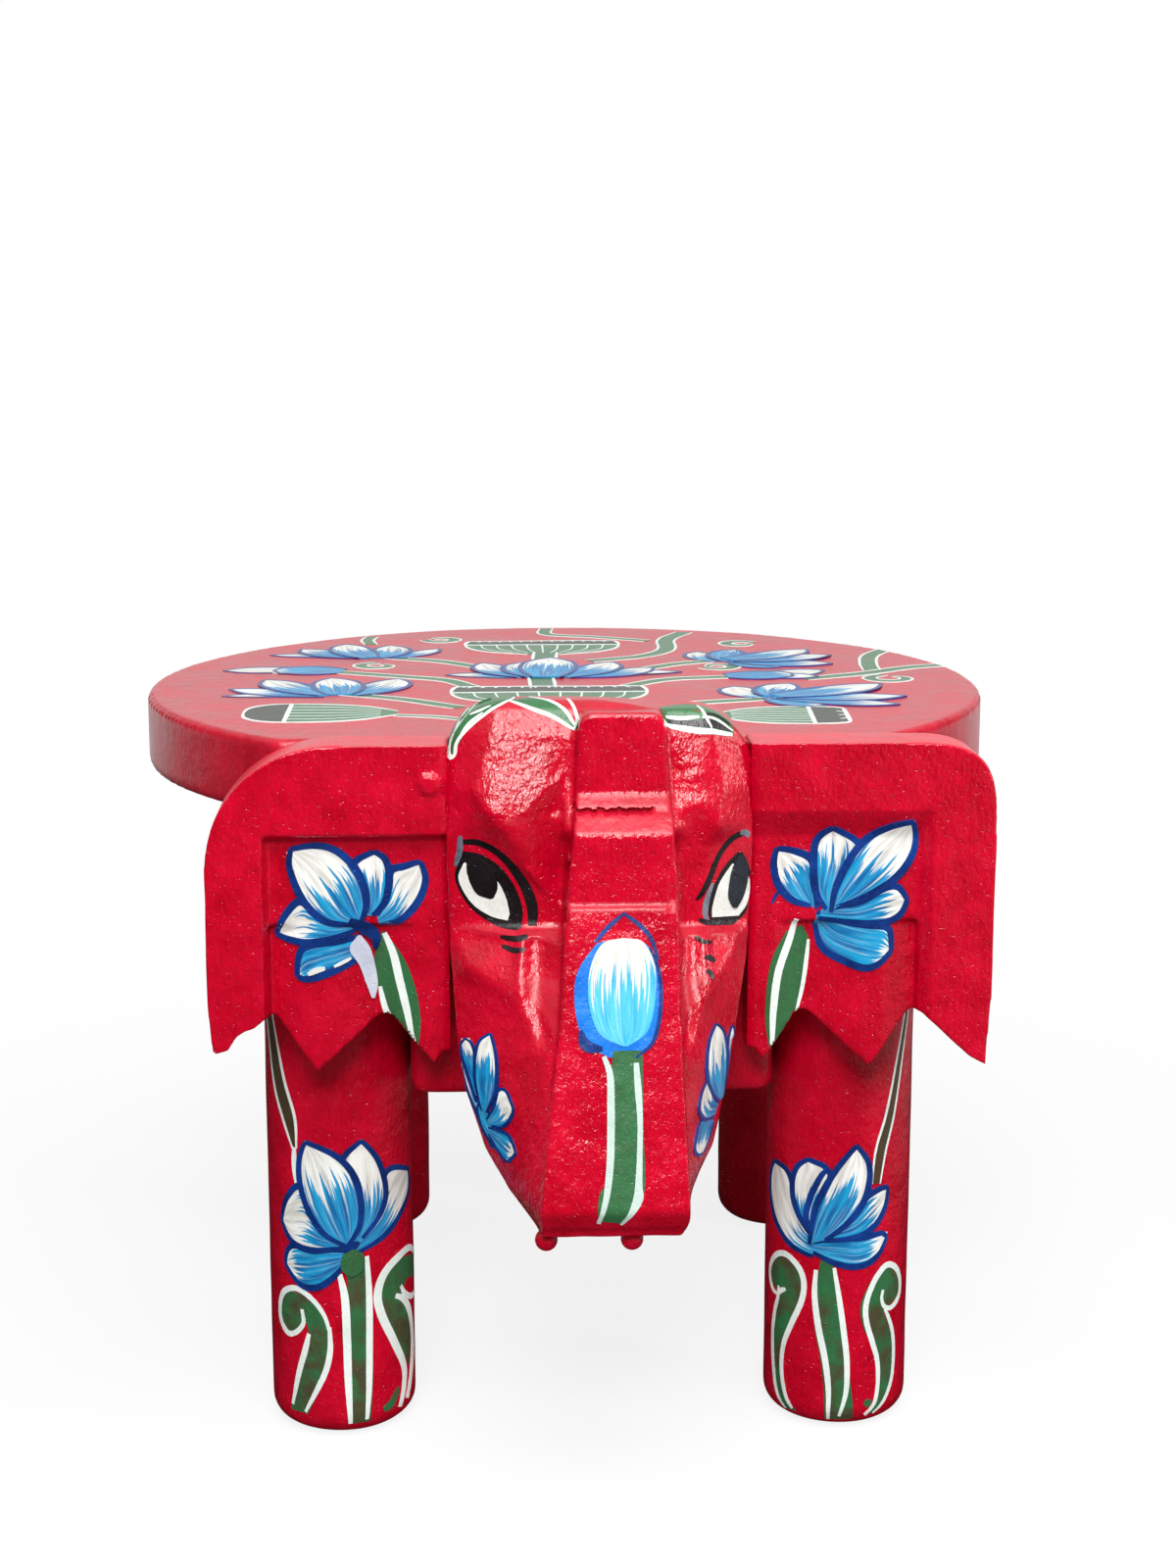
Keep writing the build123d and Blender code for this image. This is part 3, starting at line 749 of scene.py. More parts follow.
def paint_right_leg(name, face):
    lotus(name + "_lotus", face, [
        Shape(((-11, 62), (-20, 64.3), (-28, 71), (-32.3, 80), (-31.8, 87), (-29.5, 91.3)),
              ((-8, 67), (-14, 72), (-18, 82), (-22, 90), (-29, 91.5)), white=0.8),
        Shape(((-11, 63.5), (-3, 60.2), (4, 59), (10, 60.7), (15.3, 66)),
              ((-11, 67), (-3, 69.5), (4, 69), (10, 69.5), (15.6, 69.5)), white=0.3),
        Shape(((-9, 68), (2, 69.3), (9, 72), (13.8, 78), (15.5, 85)),
              ((-9, 70.5), (2, 77), (6.5, 83), (11, 85.3), (15, 85.8)), white=0.5),
        Shape(((-9, 69), (-14.5, 73), (-18.5, 80), (-19.3, 87), (-17.5, 92.5), (-14, 95.8)),
              ((-9, 69), (-12, 78), (-9, 88), (-7, 93.5), (-13, 96)), white=0.62),
        Shape(((-10, 69), (-13.6, 75), (-12.5, 82), (-9.7, 89), (-7, 93.6)),
              ((-8, 69), (-7, 80), (-6, 88), (-5.7, 93)), white=0.55),
        Shape(((-12.3, 66.5), (-10.9, 77), (-8.2, 85), (-4, 93), (2.4, 101.6)),
              ((-7, 68.5), (1, 75.5), (6.3, 84), (7.4, 94), (3.3, 101.8)), white=0.5)], line=2.1)
    greenery(name + "_stem", face,
             [Shape(((-8.5, 61), (-10, 50), (-10.3, 38), (-8, 26), (-6.6, 14), (-6.2, 3.5)),
                    ((-4.5, 61), (-2, 48), (0, 36), (1.6, 24), (3, 14), (4, 3.5)))],
             [stroke(2.1, (-10, 57.3), (-10.3, 48), (-8.8, 37), (-6.4, 26), (-5, 15), (-5, 3.5)),
              stroke(1.9, (-3.8, 58.6), (-1.8, 47), (-0.2, 36), (1.1, 25), (1, 14), (-1.2, 5))],
             finishes=WORN_LEAF)
    greenery(name + "_curls", face,
             [Shape(((-22, 4), (-26.3, 11), (-28.3, 20), (-28.6, 30), (-27, 40), (-24, 47)),
                    ((-17, 4.5), (-21, 9), (-23.4, 18), (-22.3, 28), (-18.5, 38), (-14.8, 50))),
              oval((-23, 44.7), (-22.5, 60), 16),
              Shape(((8, 5), (12, 9), (13, 17), (11, 28), (6.6, 37), (5.6, 45), (9, 53)),
                    ((12, 5), (17, 9.5), (20.5, 17), (21, 26), (18.5, 34), (15, 41), (15, 50))),
              oval((17.3, 42.5), (17, 57), 13.6), oval((9, 7.6), (9, 10.8), 3)],
             [stroke(2, (-18.6, 5), (-21.5, 10), (-23.3, 18), (-22.6, 27), (-19, 36), (-15.3, 44.5),
                     (-14.2, 51), (-15.6, 56), (-18.8, 59), (-22.5, 60.2), (-26.8, 58.6),
                     (-30.4, 54.3), (-31.4, 49.5), (-29.5, 45.5), (-26.3, 44.5)),
              stroke(1.8, (-22, 4), (-26, 10), (-28.2, 20), (-28.7, 30), (-27.4, 38), (-25.6, 44),
                     (-25.4, 47.8)),
              stroke(1.8, (-26, 44.5), (-24.4, 46.3), (-21.8, 47.8)),
              stroke(2, (8.3, 4.6), (11.8, 9), (13, 16), (12.5, 24), (10.3, 31), (7.8, 39),
                     (7.6, 45.5), (10, 52), (13.5, 56.3), (16.7, 57.5), (20.7, 55.3),
                     (23.5, 51), (23.9, 46), (21.7, 42.8), (18, 41.6), (15, 43), (13.8, 46),
                     (14.3, 49)),
              stroke(1.7, (15.3, 42), (17.4, 38), (19.7, 32), (20.6, 25), (19.8, 16), (16.4, 9.3),
                     (11.5, 4.8))],
             finishes=WORN_LEAF)
    greenery(name + "_blade", face,
             [Mark(((25, 150), (20, 130), (15.6, 111), (12, 99), (10.3, 87.5)),
                   (2.6, 3, 3.8, 4.2, 3.2))], line=0.8, lined=True,
             finishes=BROWN_BLADE)


# ------------------------------------------------------------------ painted ears
def paint_left_ear(face):
    lotus("ear_left_lotus", face, [
        Shape(((-69, 186), (-66, 193), (-64.5, 200.5), (-60, 202), (-55.3, 203.5)),
              ((-68.5, 182.8), (-62, 184.3), (-56.3, 190), (-53.6, 197), (-54.8, 203.3)),
              white=0.68),
        Shape(((-73, 186), (-74, 193), (-76.5, 200), (-75.5, 203.8), (-70, 206.8)),
              ((-70.5, 186), (-66.5, 190.5), (-65, 198), (-66, 204), (-69.2, 206.8)),
              white=0.55),
        Shape(((-74, 172), (-80, 169.3), (-86, 166.8), (-91, 165.4), (-94.6, 165.8)),
              ((-74, 179), (-82, 177.5), (-89, 176.8), (-93.5, 174.5), (-95, 167)), white=0.1),
        Shape(((-76, 181), (-83, 178.6), (-90, 177.4), (-96, 178), (-101, 179.6)),
              ((-76, 184), (-84, 184.5), (-90, 189), (-94, 190.8), (-98.5, 185.8),
               (-101.2, 180.2)), white=0.5),
        Shape(((-76, 183), (-85, 184.2), (-91.5, 190), (-95.3, 198), (-97.2, 206.8)),
              ((-74, 184.5), (-72.3, 190.5), (-75, 200.5), (-83, 208), (-94.5, 209)),
              white=0.53)], line=2.3)
    paint("ear_left_root", face,
          [Mark(((-78, 184.3), (-73, 181.8), (-69.8, 178.6), (-70, 174.6)), (2.5, 4.5, 3.5, 1.2),
                12)], line_blue)
    paint("ear_left_dabs", face,
          [stroke(1.7, (-91.3, 167), (-88.5, 168.3), (-85.8, 168.9), coat=12),
           stroke(1, (-83, 169.4), (-80, 170.8), (-77.5, 172), coat=12)],
          eye_white)
    greenery("ear_left_leaf", face,
             [Shape(((-67.8, 180), (-70.2, 172), (-69.3, 163), (-66, 153), (-60, 142.5)),
                    ((-66.8, 180), (-60.5, 171), (-57, 161), (-55.7, 151), (-56.7, 141)))],
             [stroke(2.5, (-67, 179.6), (-64.2, 173), (-62.2, 164), (-60.2, 155), (-58.2, 144)),
              stroke(1.8, (-68.6, 162), (-67.4, 156), (-65.5, 151), (-61.5, 146.5))])
    paint("ear_left_stalk", face,
          [Shape(((-75.3, 179.3), (-78, 175), (-75, 169.5), (-73, 163.5), (-71.3, 158.5)),
                 ((-74.3, 179.3), (-71.5, 175), (-70, 169), (-69.3, 163), (-70.3, 158.4)), 13)],
          pale_lilac)


def paint_right_ear(face):
    lotus("ear_right_lotus", face, [
        Shape(((69, 188), (63, 190), (58.5, 195), (57, 201.5), (57.7, 206.8)),
              ((71, 187), (70.3, 196), (69, 203), (64, 205.8), (58.3, 206.9)), white=0.5),
        Shape(((70.5, 182.5), (73, 174), (80, 169.7), (88, 167.3), (95, 171.5)),
              ((71, 186), (80, 182.8), (88, 181.5), (94, 180.5), (95.5, 174)), white=0.2),
        Shape(((71.5, 184), (82, 182.4), (90, 182), (96.3, 183.7), (100.1, 188.5)),
              ((73, 188), (84, 189), (91, 193), (96, 194.3), (99.7, 191)), white=0.45),
        Shape(((74, 187), (70.7, 192), (69.7, 200), (70.3, 209), (75, 213.8)),
              ((76, 187), (79, 194), (84, 202), (84, 208.3), (76, 213.5)), white=0.4),
        Shape(((75.5, 186), (76.7, 193), (80, 201), (85, 208.5), (91.5, 213), (100, 216)),
              ((77, 187.5), (85, 190.3), (93, 194.7), (98.5, 200), (101.8, 207), (101.8, 215.5)),
              white=0.52)], line=2.3)
    paint("ear_right_tail", face, [stroke(1, (59.5, 194), (57.8, 191.5), (56.5, 188.8))],
          line_blue)
    greenery("ear_right_leaf", face,
             [Shape(((61.5, 179.5), (57, 171), (55.3, 161), (55, 150), (56.7, 139.5)),
                    ((67, 181), (69.3, 174), (67.3, 161), (65, 151), (58.5, 139.5)))],
             [stroke(2.4, (64.6, 183.5), (62.3, 176), (59, 166), (57.6, 154), (57.3, 142)),
              stroke(1.3, (68.8, 176.3), (68.2, 169), (67, 160), (65, 151.5))])


# ------------------------------------------------------------------ painted head
CROWN = (MIDDLE_X, -0.116, 0.250)       # the point of the crown that its drawing starts from
CROWN_SLOPE = (0, 1, 1)                 # the drawing leans back with the crown


def paint_trunk(face):
    cup = Shape(((3, 152), (-4, 156), (-7.3, 165), (-7, 176), (-1.7, 184.3), (1, 186)),
                ((11, 152), (16.5, 157), (18.7, 167), (18.3, 177), (15.5, 184), (12, 186.5)))
    heart = Shape(((7, 155.3), (0, 159), (-3.2, 168), (-2.7, 178), (1, 185.3), (7, 187)),
                  ((8.5, 155.3), (14.5, 159.5), (17, 169), (17, 179), (13.5, 185.8), (8, 187)),
                  3, 0.52)
    paint("trunk_bud_cup", face, [cup], cup_blue)
    paint("trunk_bud_heart", face, [heart], bud_blue)
    paint("trunk_bud_lines", face,
          [cup.edge(1, 1.1, 5, end=0.8),
           Mark(((-5.8, 160), (-4.8, 156.5), (-2.6, 155), (0.8, 154.6)), (1.2, 3.2, 3.2, 1.2), 5)],
          line_blue)
    paint("trunk_bud_arch", face,
          [stroke(1.3, (-1.2, 185.8), (3, 190.3), (7.8, 194.2)),
           stroke(1.3, (7.6, 194.3), (12.2, 191), (15.8, 187), (18.2, 180.5))],
          line_blue)
    greenery("trunk_stem", face,
             [Shape(((4, 154), (3, 142), (3, 130), (2.5, 118), (-0.7, 111.5), (-1, 104)),
                    ((13, 154), (13, 142), (13, 130), (13.4, 118), (12.4, 111), (7, 103)), 3)],
             [stroke(2.2, (1.2, 152.4), (3, 147), (3.2, 138), (3.1, 129), (2.7, 120), (1.5, 111),
                     (-0.8, 103), coat=4),
              Mark(((11, 150.5), (11.5, 143), (12, 134), (11.8, 124), (11.4, 115), (11.2, 111),
                    (9, 106.5), (6, 102.5)), (1.6, 2.1, 1.7, 1.7, 2.2, 3, 1.8, 0.8), 4)],
             finishes=(leaf_green, trunk_mint))


def paint_left_eye(face):
    paint("eye_left_lid", face,
          [Mark(((-41.5, 211.2), (-37, 211.4), (-32, 209.4), (-28, 206.2), (-24.6, 202),
                 (-21.7, 197), (-19.9, 191), (-20, 185.5)), (1.6, 2, 2.1, 2.4, 2.9, 3.3, 3.5, 2.6)),
           Shape(((-25, 184.3), (-31, 185), (-38, 189), (-42.3, 194.5), (-44.2, 200.5),
                  (-42.3, 206)),
                 ((-23.3, 185), (-23, 191), (-25.5, 198), (-30, 204), (-36, 207.6),
                  (-41.5, 208.2))),
           stroke(1.5, (-30, 182.2), (-26, 182.2), (-21.5, 183.3)),
           stroke(1.5, (-29.5, 179.6), (-26, 179), (-22.2, 180))], eye_black)
    paint("eye_left_white", face,
          [Shape(((-27.6, 186.8), (-33, 187.9), (-39, 191.8), (-43, 199), (-41.4, 204.3)),
                 ((-27, 189), (-28.3, 194.5), (-31, 199.5), (-36, 203.5), (-41, 204.6)), 2)],
          eye_white)
    paint("eye_left_pupil", face,
          [Shape(((-33.2, 193.3), (-37.6, 195), (-40.2, 201), (-40.4, 206)),
                 ((-32, 193.7), (-30.7, 197.5), (-32, 203), (-37, 206.8)), 4)],
          eye_black)
    paint("eye_left_smear", face, [stroke(1.8, (-42.3, 213), (-42.6, 208), (-44, 203.3))],
          smoke_grey)


def paint_right_eye(face):
    paint("eye_right_lid", face,
          [Mark(((46.5, 213.4), (43.2, 212.3), (40.5, 209.7), (38.1, 206), (36.5, 202),
                 (35, 198.5), (33.4, 195.5), (31.5, 193.2)),
                (1.8, 2, 1.7, 1.7, 1.8, 1.9, 1.6, 0.9)),
           Shape(((37, 184.8), (35.3, 189), (36.7, 196.5), (40.3, 203), (44.8, 207.3)),
                 ((43.5, 184.3), (47.5, 187.5), (49.3, 193), (49, 201), (46.3, 207.3))),
           stroke(1.4, (32.3, 187), (35, 185.9), (38, 185.4)),
           stroke(1.2, (30.7, 182.8), (33, 181.6), (36, 180.8)),
           stroke(1.4, (33.5, 177), (35, 176.8), (37, 175.3)),
           stroke(1.3, (34, 173.3), (35.5, 172.2), (36, 170.6))], eye_black)
    paint("eye_right_white", face,
          [Shape(((36.5, 187.3), (36.7, 191), (38.6, 197.5), (40.8, 201), (43, 203.8)),
                 ((45.3, 186.8), (47.8, 190), (48.9, 195), (48, 200), (43.5, 203.8)), 2)],
          eye_white)
    paint("eye_right_pupil", face,
          [Shape(((43.3, 189.6), (41.8, 193), (42.1, 198), (43.3, 203), (45.3, 206.3)),
                 ((44.7, 189.4), (46.8, 193), (48.1, 198), (48.2, 203), (46.8, 206.3)), 8)],
          pupil_black)
    paint("eye_right_smear", face,
          [Shape(((36.3, 198.3), (34, 193.5), (33.4, 189), (34.3, 186.3)),
                 ((37.2, 198.3), (36, 194), (35.1, 189), (35.7, 186.5))),
           stroke(1.9, (48.4, 212), (47.3, 213.4), (45.5, 213.6))], smoke_grey)


def paint_cheeks(face):
    lotus("cheek_left_lotus", face, [
        Shape(((-33, 118), (-37.5, 127), (-41, 135), (-42.6, 142)),
              ((-35, 125), (-38, 132), (-40.5, 138), (-41.8, 142)), white=0.5),
        Shape(((-29, 117), (-33, 119.5), (-36.5, 124.5), (-38, 131)),
              ((-29, 124), (-32, 126.5), (-34, 129.5), (-35.5, 132)), white=0),
        Shape(((-34, 122.5), (-31.3, 118.7), (-28.5, 116.3), (-25.8, 119.5)),
              ((-34, 124.5), (-30, 125), (-27.5, 124.3), (-25.6, 120.5)), white=0.35),
        Shape(((-33, 125.5), (-30, 126.3), (-28, 128.5), (-26.8, 131), (-26.2, 133)),
              ((-34.5, 127), (-32.2, 132), (-31, 137), (-28.5, 137.8), (-26.4, 133.6)), white=0.6),
        Shape(((-38, 133), (-40.6, 140), (-42.3, 145), (-42.3, 149.7)),
              ((-37, 135), (-38, 142), (-38.3, 147), (-40, 150.4)), white=0.4),
        Shape(((-36, 129.5), (-37.9, 137), (-38, 144), (-36.8, 150), (-33.4, 153.5)),
              ((-34.5, 129.5), (-31.8, 136), (-31.2, 142), (-31.6, 148), (-33, 153.5)),
              white=0.55)], line=0.9)
    lotus("cheek_right_lotus", face, [
        Shape(((40.5, 138), (41, 144), (41.7, 150), (42.8, 153)),
              ((42.5, 138), (43.7, 144), (44, 150), (43.3, 153)), white=0.6),
        Shape(((36, 126.7), (32, 129.3), (29.8, 126), (29.2, 121.5), (31.5, 118)),
              ((36.3, 125.5), (35.5, 123.5), (34.5, 121), (33, 118.5)), white=0.4),
        Shape(((36.5, 127.5), (33, 128.5), (31, 132), (31.2, 136), (33.6, 140.3)),
              ((38, 130.5), (36.7, 132.5), (35.3, 136), (34.2, 140.5)), white=0.6),
        Shape(((38.4, 131), (36, 134.5), (34, 140), (33.8, 146), (34.7, 151.5), (36.7, 156)),
              ((40, 131.5), (40.8, 137), (41.2, 143), (40.8, 148.5), (39.5, 153), (37.3, 156)),
              white=0.5)], line=0.9)


def paint_crown(face):
    greenery("crown_left", face,
             [Shape(((-45.4, -8.6), (-46.3, 0), (-45.5, 7), (-42, 13)),
                    ((-44.3, -8.3), (-38.5, -2.3), (-31.5, 1.5), (-26.5, 5.5), (-24, 11))),
              Shape(((-27, 5), (-20, 1.3), (-13, -1.8), (-5.5, -7)),
                    ((-20, 9), (-14, 5), (-9, 0), (-5.2, -6)), 1)],
             [stroke(1.1, (-25, 9), (-26.6, 5.6), (-32, 1.2), (-38, -2), (-43, -5.6), (-43.8, -8.6),
                     (-45.2, -9), (-45.8, -6.5), (-44.6, -3), (-41.5, 1), (-39, 6), (-37, 11)),
              stroke(0.8, (-39, 1.4), (-36, 1.6), (-32.5, 2.6)),
              stroke(0.8, (-42.5, -5), (-39.5, -1.6), (-35, 0.7)),
              stroke(1, (-43.5, 0), (-42, 6), (-39.5, 11)),
              stroke(1.3, (-27, 5.2), (-20, 1.4), (-13, -1.7), (-6, -6.2), coat=2),
              stroke(1.1, (-20.5, 8.8), (-14, 4.8), (-9, 0), (-5.6, -6), coat=2),
              stroke(1, (-8.6, 6.5), (-6.9, 2.5), (-5.8, -1.5), (-5.5, -6), coat=2)])
    greenery("crown_right", face,
             [Shape(((21.6, -3.6), (27, -5.2), (33, -5.9), (38, -6), (43.3, -4.8)),
                    ((20, 2.4), (26, 6.4), (33, 6.4), (40, 1.9), (43.8, -3.6)))],
             [stroke(1.7, (22, -4.6), (28, -5.6), (35, -6.4), (43, -5.2), coat=3),
              stroke(1.2, (22, -2), (27, -2.3), (32.5, -1.9), coat=3),
              stroke(0.9, (32.4, 5.4), (33.8, -0.1), (36.3, -5.2), coat=3),
              stroke(0.8, (33.5, -2), (38, -2.1), (43.2, -4), coat=3),
              stroke(0.9, (21.8, -3.6), (21.5, -6.6), (21.3, -10))])
    paint("crown_right_shade", face,
          [Mark(((22.5, -3.4), (31, -3.9), (37, -3.6), (43, -4)), (1.2, 2, 3.2, 0.9), 2),
           stroke(1, (34.5, -0.9), (38.5, -0.8), (42.3, -2.4), coat=2)], eye_black)


# ------------------------------------------------------------------ painted seat
def pod(name, face, base, rim, wide, cap, stripes, teeth=13, end=0.9):
    """A lotus seed pod: a cup that widens from its stem to a dark cap, with pale stripes and
    teeth. The cap rounds off to the share end of its width."""
    base, rim = Vector(base), Vector(rim)
    mouth = rim - (rim - base).normalized() * cap
    cup = Mark([base.lerp(mouth, share) for share in (0, 0.25, 0.5, 0.75, 1)],
               [wide * share for share in (0.2, 0.65, 0.88, 0.97, 1)])
    turns = [math.radians(15 * i) for i in range(7)]
    cap_mark = Mark([mouth.lerp(rim, math.sin(turn)) for turn in turns],
                    [wide * (end + (1 - end) * math.cos(turn) ** 0.7) for turn in turns], 1)
    ribs = [Mark([cup.spot(side, share) for share in (0.15, 0.55, 0.98)], (0.4, 0.7, 0.7), 1)
            for side in [2 * i / stripes - 1 for i in range(1, stripes)]]
    notches = [Mark([cap_mark.spot(side, share) for share in (0.55, 0.95)], (0.8, 1.1), 2)
               for side in [2 * i / (teeth + 1) - 1 for i in range(1, teeth + 1)]]
    ends = [Mark([cap_mark.spot(side, share) for side in (-1, -0.3, 0.3, 1)],
                 (1.4, 1.6, 1.6, 1.4), 2) for share in ((0, 1) if end else (0,))]
    rims = [cap_mark.edge(side, 1.4, 2) for side in (-1, 1)]
    greenery(name, face, [cup], ribs + notches + ends + rims, line=1.4, lined=True)
    paint(name + "_cap", face, [cap_mark], leaf_dark)


def stem(points, width=6.5):
    """A stalk as wide at its foot as at its flower."""
    return Mark(points, [width] * len(points))


def ring(middle, size, start):
    """A tendril that rolls up round its middle, from an angle in degrees."""
    line = []
    for i in range(7):
        turn, reach = math.radians(start + 55 * i), 1 - 0.07 * i
        line.append((middle[0] + math.cos(turn) * size * reach,
                     middle[1] + math.sin(turn) * size * reach))
    return Mark(line, (4, 5, 5.5, 5.5, 5, 4, 2))


def paint_seat(face):
    greenery("seat_stems", face, [
        stem(((-80.5, -25), (-60.5, -37), (-39, -56))),
        stem(((-86, 26), (-63, 15), (-45.5, 5), (-35, -12))),
        stem(((-68, 64), (-48, 52.5), (-33, 37.5))),
        stem(((60, 11), (37, 5), (19.5, -13))),
        stem(((68, -41), (44.5, -49), (29.5, -56))),
        stem(((55.5, 50), (42, 42), (30, 31))),
        stem(((-60.5, -71), (-48, -74), (-38, -80)), 4),
        stem(((-77.5, 123), (-79, 112), (-77, 100)), 5),
        stem(((-5.5, 146), (-5, 128), (14.5, 119), (35, 107)), 5.5),
        stem(((52, 133), (43, 110), (41, 82), (29.5, 63), (9.5, 52)), 7),
        stem(((131, 83), (120, 62), (116, 40), (115, 24))),
        stem(((148, 38), (130, 30), (110, 16), (87, 5)), 7),
        ring((-49, 114), 7, 180), ring((-72, 42), 7, 90), ring((72, 97.5), 7, 30),
        ring((58, 36), 7, 200), ring((119, 4), 8.5, 100)], line=1.0, lined=True)
    greenery("seat_trunk_stem", face,
             [stem(((-10, 12), (-9.7, 0), (-9.5, -16)), 9),
              stem(((-7, 76), (-7.5, 66), (-8, 52)), 9)], line=1.2, lined=True)
    pod("seat_pod_front", face, (-7.5, -50), (-7.5, -11), 70, 13, 9)
    pod("seat_pod_rear", face, (-8, 70), (-8, 108), 62, 11, 10)
    pod("seat_pod_left", face, (-60, -66), (-112, -66), 36, 15, 6, 0, 0)
    pod("seat_pod_right", face, (48, -74), (92, -76), 34, 12, 7, 3, 0.7)
    lotus("seat_lotus_middle", face, [
        petal((-20, 12), (-45, 18), 10, 2, white=0.5),
        petal((0, 12), (43, 23), 10, -3, white=0.4),
        petal((2, 12), (33, 32), 14, 3, white=0.4),
        petal((-16, 12), (-32, 46), 14, -3, white=0.5),
        petal((-2, 11), (18, 46), 16, 3, white=0.45),
        petal((-12, 11), (-17, 45), 15, -2, white=0.45),
        petal((-8, 9), (-5.5, 57), 21, 0, white=0.5)])
    lotus("seat_lotus_rear_left", face, [
        petal((-80, 64), (-115, 72), 9, 2, white=0.4),
        petal((-70, 63), (-49, 86), 10, 2, white=0.45),
        petal((-79, 64), (-104, 86), 14, -2, white=0.35),
        petal((-73, 63), (-69, 95), 15, 3, white=0.45),
        petal((-76, 62), (-87, 98), 16, -2, white=0.5)])
    lotus("seat_bud_left", face, [
        petal((-94, 31), (-129, 32), 14, 1, white=0.9),
        petal((-84, 28), (-110, 30), 20, 1, white=0.15, point=0.6)])
    lotus("seat_lotus_front_left", face, [
        petal((-88, -31), (-123, -29), 8, 2, white=0.5),
        petal((-86, -29), (-122, -13), 13, -2, white=0.45),
        petal((-79, -27), (-62, 8), 17, 3, white=0.55),
        petal((-86, -28), (-111, 7), 16, -2, white=0.45),
        petal((-82, -28), (-87, 9), 18, 1, white=0.5)])
    lotus("seat_lotus_rear_right", face, [
        petal((60, 50), (53, 76), 12, -3, white=0.5),
        petal((64, 48), (84, 35), 12, 3, white=0.2),
        petal((64, 49), (102, 40), 14, 2, white=0.35),
        petal((63, 50), (68, 79), 14, -2, white=0.2),
        petal((64, 50), (104, 61), 15, 2, white=0.4),
        petal((63, 51), (97, 77), 16, 2, white=0.5)])
    lotus("seat_bud_right", face, [
        petal((68, 15), (97, 25), 14, 1, white=0.6),
        petal((68, 12), (93, 10), 12, -1, white=0.5),
        petal((59, 12), (84, 17), 18, 1, white=0.15, point=0.6)])
    lotus("seat_lotus_front_right", face, [
        petal((69, -38), (59.5, -12), 15, -3, white=0.75),
        petal((70, -40), (87, -56), 12, 3, white=0.2),
        petal((71, -39), (113, -55), 12, 2, white=0.35),
        petal((72, -38), (118, -38), 14, 2, white=0.4),
        petal((71, -37), (80, -9), 15, -2, white=0.5),
        petal((72, -38), (113, -12), 17, 2, white=0.5)])


# ------------------------------------------------------------------ shaping the carved pieces
# each flat on the head: its outline, the height and the front-back place it starts from, how
# far it comes forward per millimetre down and goes back per millimetre right, and its soft edge
HEAD_FLATS = {
    "left_dome": (((-40, 228), (-38, 219.5), (-30, 214), (-21, 215), (-9.5, 227), (-9.5, 248),
                   (-34, 248)), 249, -119.5, 0.37, 0, 7),
    "left_dome_inner": (((-29, 211), (-18, 196), (-9.5, 190), (-9.5, 236), (-28.5, 217)),
                        232, -121.3, 0, 0.37, 2),
    "right_dome": (((25, 225), (37, 225), (38.5, 248), (25, 248)), 249, -119.6, 0.36, 0, 5),
    "right_temple": (((25, 203), (36, 203), (38.5, 227), (25, 227)), 226, -128.3, -0.08, 0, 2.5),
    "left_cheek": (((-44, 170), (-23, 164), (-23, 184.5), (-44, 184.5)),
                   184.5, -140, 0.75, -0.5, 3),
    "left_cheek_inner": (((-24, 163), (-18, 152), (-14.5, 154), (-14, 184.5), (-24, 184.5)),
                         183, -130.5, 0.6, 0, 2.5),
    "right_cheek": (((33, 165), (46, 178), (46, 184.5), (33, 184.5)), 184.5, -143.3, 0.75, 0.45, 3),
    "right_cheek_inner": (((25, 152), (30, 152), (34, 164), (34, 184.5), (25, 184.5)),
                          183, -130.5, 0.6, 0, 2.5),
    "ridge": (((-9.5, 195.5), (22, 195.5), (22.5, 210), (-9.5, 210)), 206, -143.2, 0.18, 0, 1.2),
    "trunk_root": (((-9.5, 174), (22, 174), (22, 196.5), (-9.5, 196.5)),
                   182, -150.3, 0.275, 0, 1.2),
}
# each worn part of the head: its left, right, low and high sides, and how often it is smoothed
HEAD_WEAR = ((-46, -10.5, 204, 221, 25), (25, 46, 200, 240, 25),
             (-46, -12, 150, 190, 12), (25, 46, 150, 190, 12))
# each ear: the side it is on, and the radius and the fullness of its outer top corner
EAR_CORNERS = {"left": (-1, 43.5, 2.2), "right": (1, 30.0, 3.5)}
# the ragged line that the left ear's tip broke off along, from the head outwards
LEFT_EAR_BREAK = ((105.2, 153), (108.4, 150.3), (111.5, 149.3), (114.1, 147.6),
                  (117, 143), (120.8, 142), (123, 143.8), (125, 147))
EAR_OVERLAP = 0.8 * MM          # how far an ear's edge is drawn into the side of the head
EAR_GAP = 1.7 * MM              # and the widest gap that is closed so
SEAT_SHAVING = 3 * MM           # what is planed off the seat's right side


def shape_head(head):
    """Gives the head its flats, its worn edges, a rounded ridge and the saw cut below it."""
    for outline, start, place, fall, lean, soft in HEAD_FLATS.values():
        chisel(head, outline, start, place, fall, lean, soft)
    for part in HEAD_WEAR:
        wear(head, *part)
    round_over(head, left=-9, right=24, low=248.5, front=-124.5, rounds=6)
    groove(head, left=-7.5, right=17.5, height=223.5, width=1.6, depth=2.2)


def shape_ears(ears):
    """Gives the ears full corners and the left one its broken tip, and sets both to the head."""
    head_low, head_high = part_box("head_block")
    for side, (sign, radius, fullness) in EAR_CORNERS.items():
        low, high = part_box("ear_" + side)
        outer, head_side = (high.x, head_high.x) if sign > 0 else (low.x, head_low.x)
        fill_corner(ears[side], sign, sign * (outer - MIDDLE_X), high.z, radius * MM, fullness)
        snug(ears[side], head_side, -sign * EAR_OVERLAP, EAR_GAP)
    chip(ears["left"], -1, LEFT_EAR_BREAK)


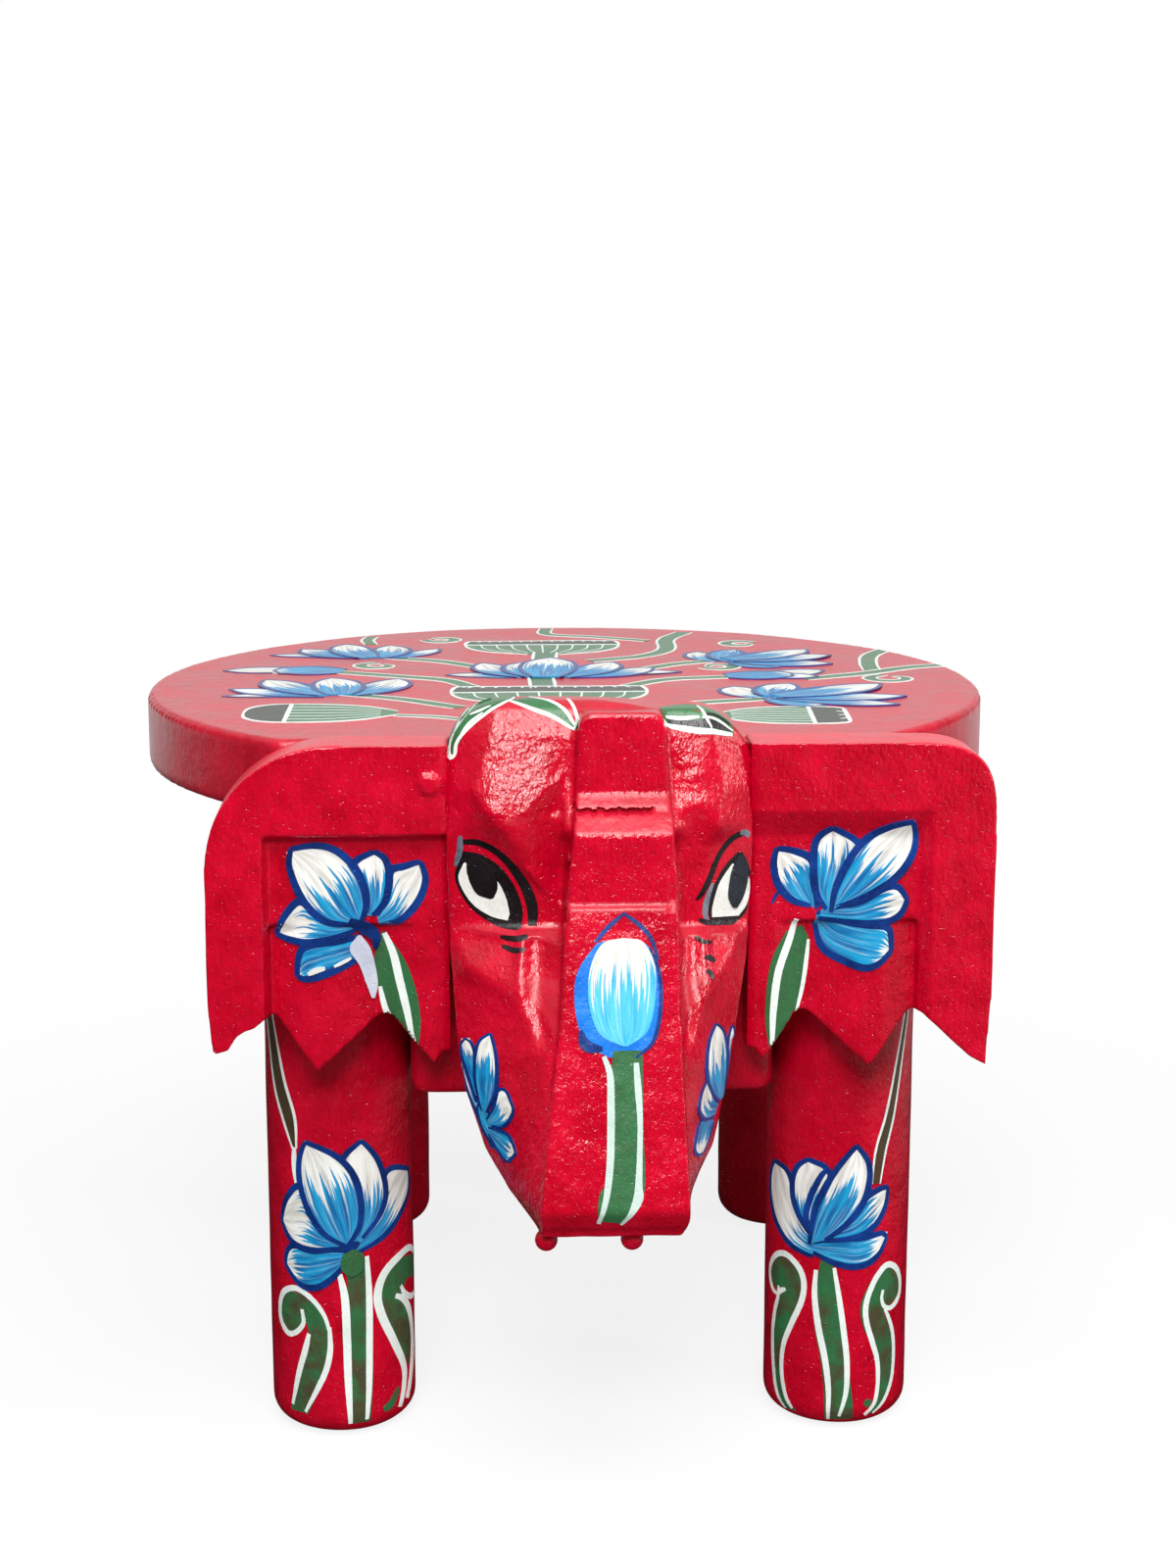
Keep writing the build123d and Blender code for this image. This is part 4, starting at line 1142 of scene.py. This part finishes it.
# ------------------------------------------------------------------ assembly
bpy.context.scene.view_settings.view_transform = "Standard"
make_camera()
make_stage()

seat = carved("seat_painted", ["seat_board"], seat_enamel, grain=1.6, softness=1,
              lump=0.5, lump_size=50)
carved("body_painted", ["body_block"], upright_enamel, grain=2.0, softness=3,
       lump=0.6, lump_size=40)
head = carved("head_painted", ["head_block"], upright_enamel, grain=0.9, softness=5,
              lump=0.5, lump_size=12, top=seat_enamel)
# the ears' level tops take the lighter red, painted light for the light from above
ears = {side: carved("ear_%s_painted" % side, ["ear_" + side, "ear_nails_" + side],
                     upright_enamel, grain=0.75, softness=6, lump=0.5, lump_size=20,
                     top=ear_top_painted_light)
        for side in ("left", "right")}
legs = {name: carved(name + "_painted", ["leg_" + name], upright_enamel, grain=1.2, softness=3,
                     lump=0.4, lump_size=30)
        for name in ("front_left", "front_right", "rear_left", "rear_right")}
carved("tail_painted", ["tail", "tail_nail"], upright_enamel, grain=0.7, softness=3,
       lump=0.3, lump_size=10)
for node, finish in (("trunk_pins", upright_enamel), ("seat_dowels", bare_wood),
                     ("head_dowels", bare_wood)):
    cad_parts[node].material_slots[0].material = finish

seat_low, seat_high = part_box("seat_board")
seat_radius = (seat_high.x - seat_low.x) / 2
shape_head(head)
shape_ears(ears)
shave_side(seat, seat_radius, SEAT_SHAVING)

for side, paint_ear in (("left", paint_left_ear), ("right", paint_right_ear)):
    paint_ear(Face(ears[side], (MIDDLE_X, 0, 0), RIGHT, UP))
head_front = Face(head, (MIDDLE_X, 0, 0), RIGHT, UP)
for paint_part in (paint_trunk, paint_left_eye, paint_right_eye, paint_cheeks):
    paint_part(head_front)
paint_crown(Face(head, CROWN, RIGHT, CROWN_SLOPE))
paint_seat(Face(seat, (0, seat_high.y - seat_radius, 0), RIGHT, BACK))
for name, leg in legs.items():
    low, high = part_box("leg_" + name)
    outward = Vector((0, -1)) if name.startswith("front") else Vector((0, 1))
    paint_leg = paint_left_leg if name in ("front_left", "rear_right") else paint_right_leg
    paint_leg(name, RoundFace(leg, (low + high) / 2, (high.x - low.x) / 2, outward))
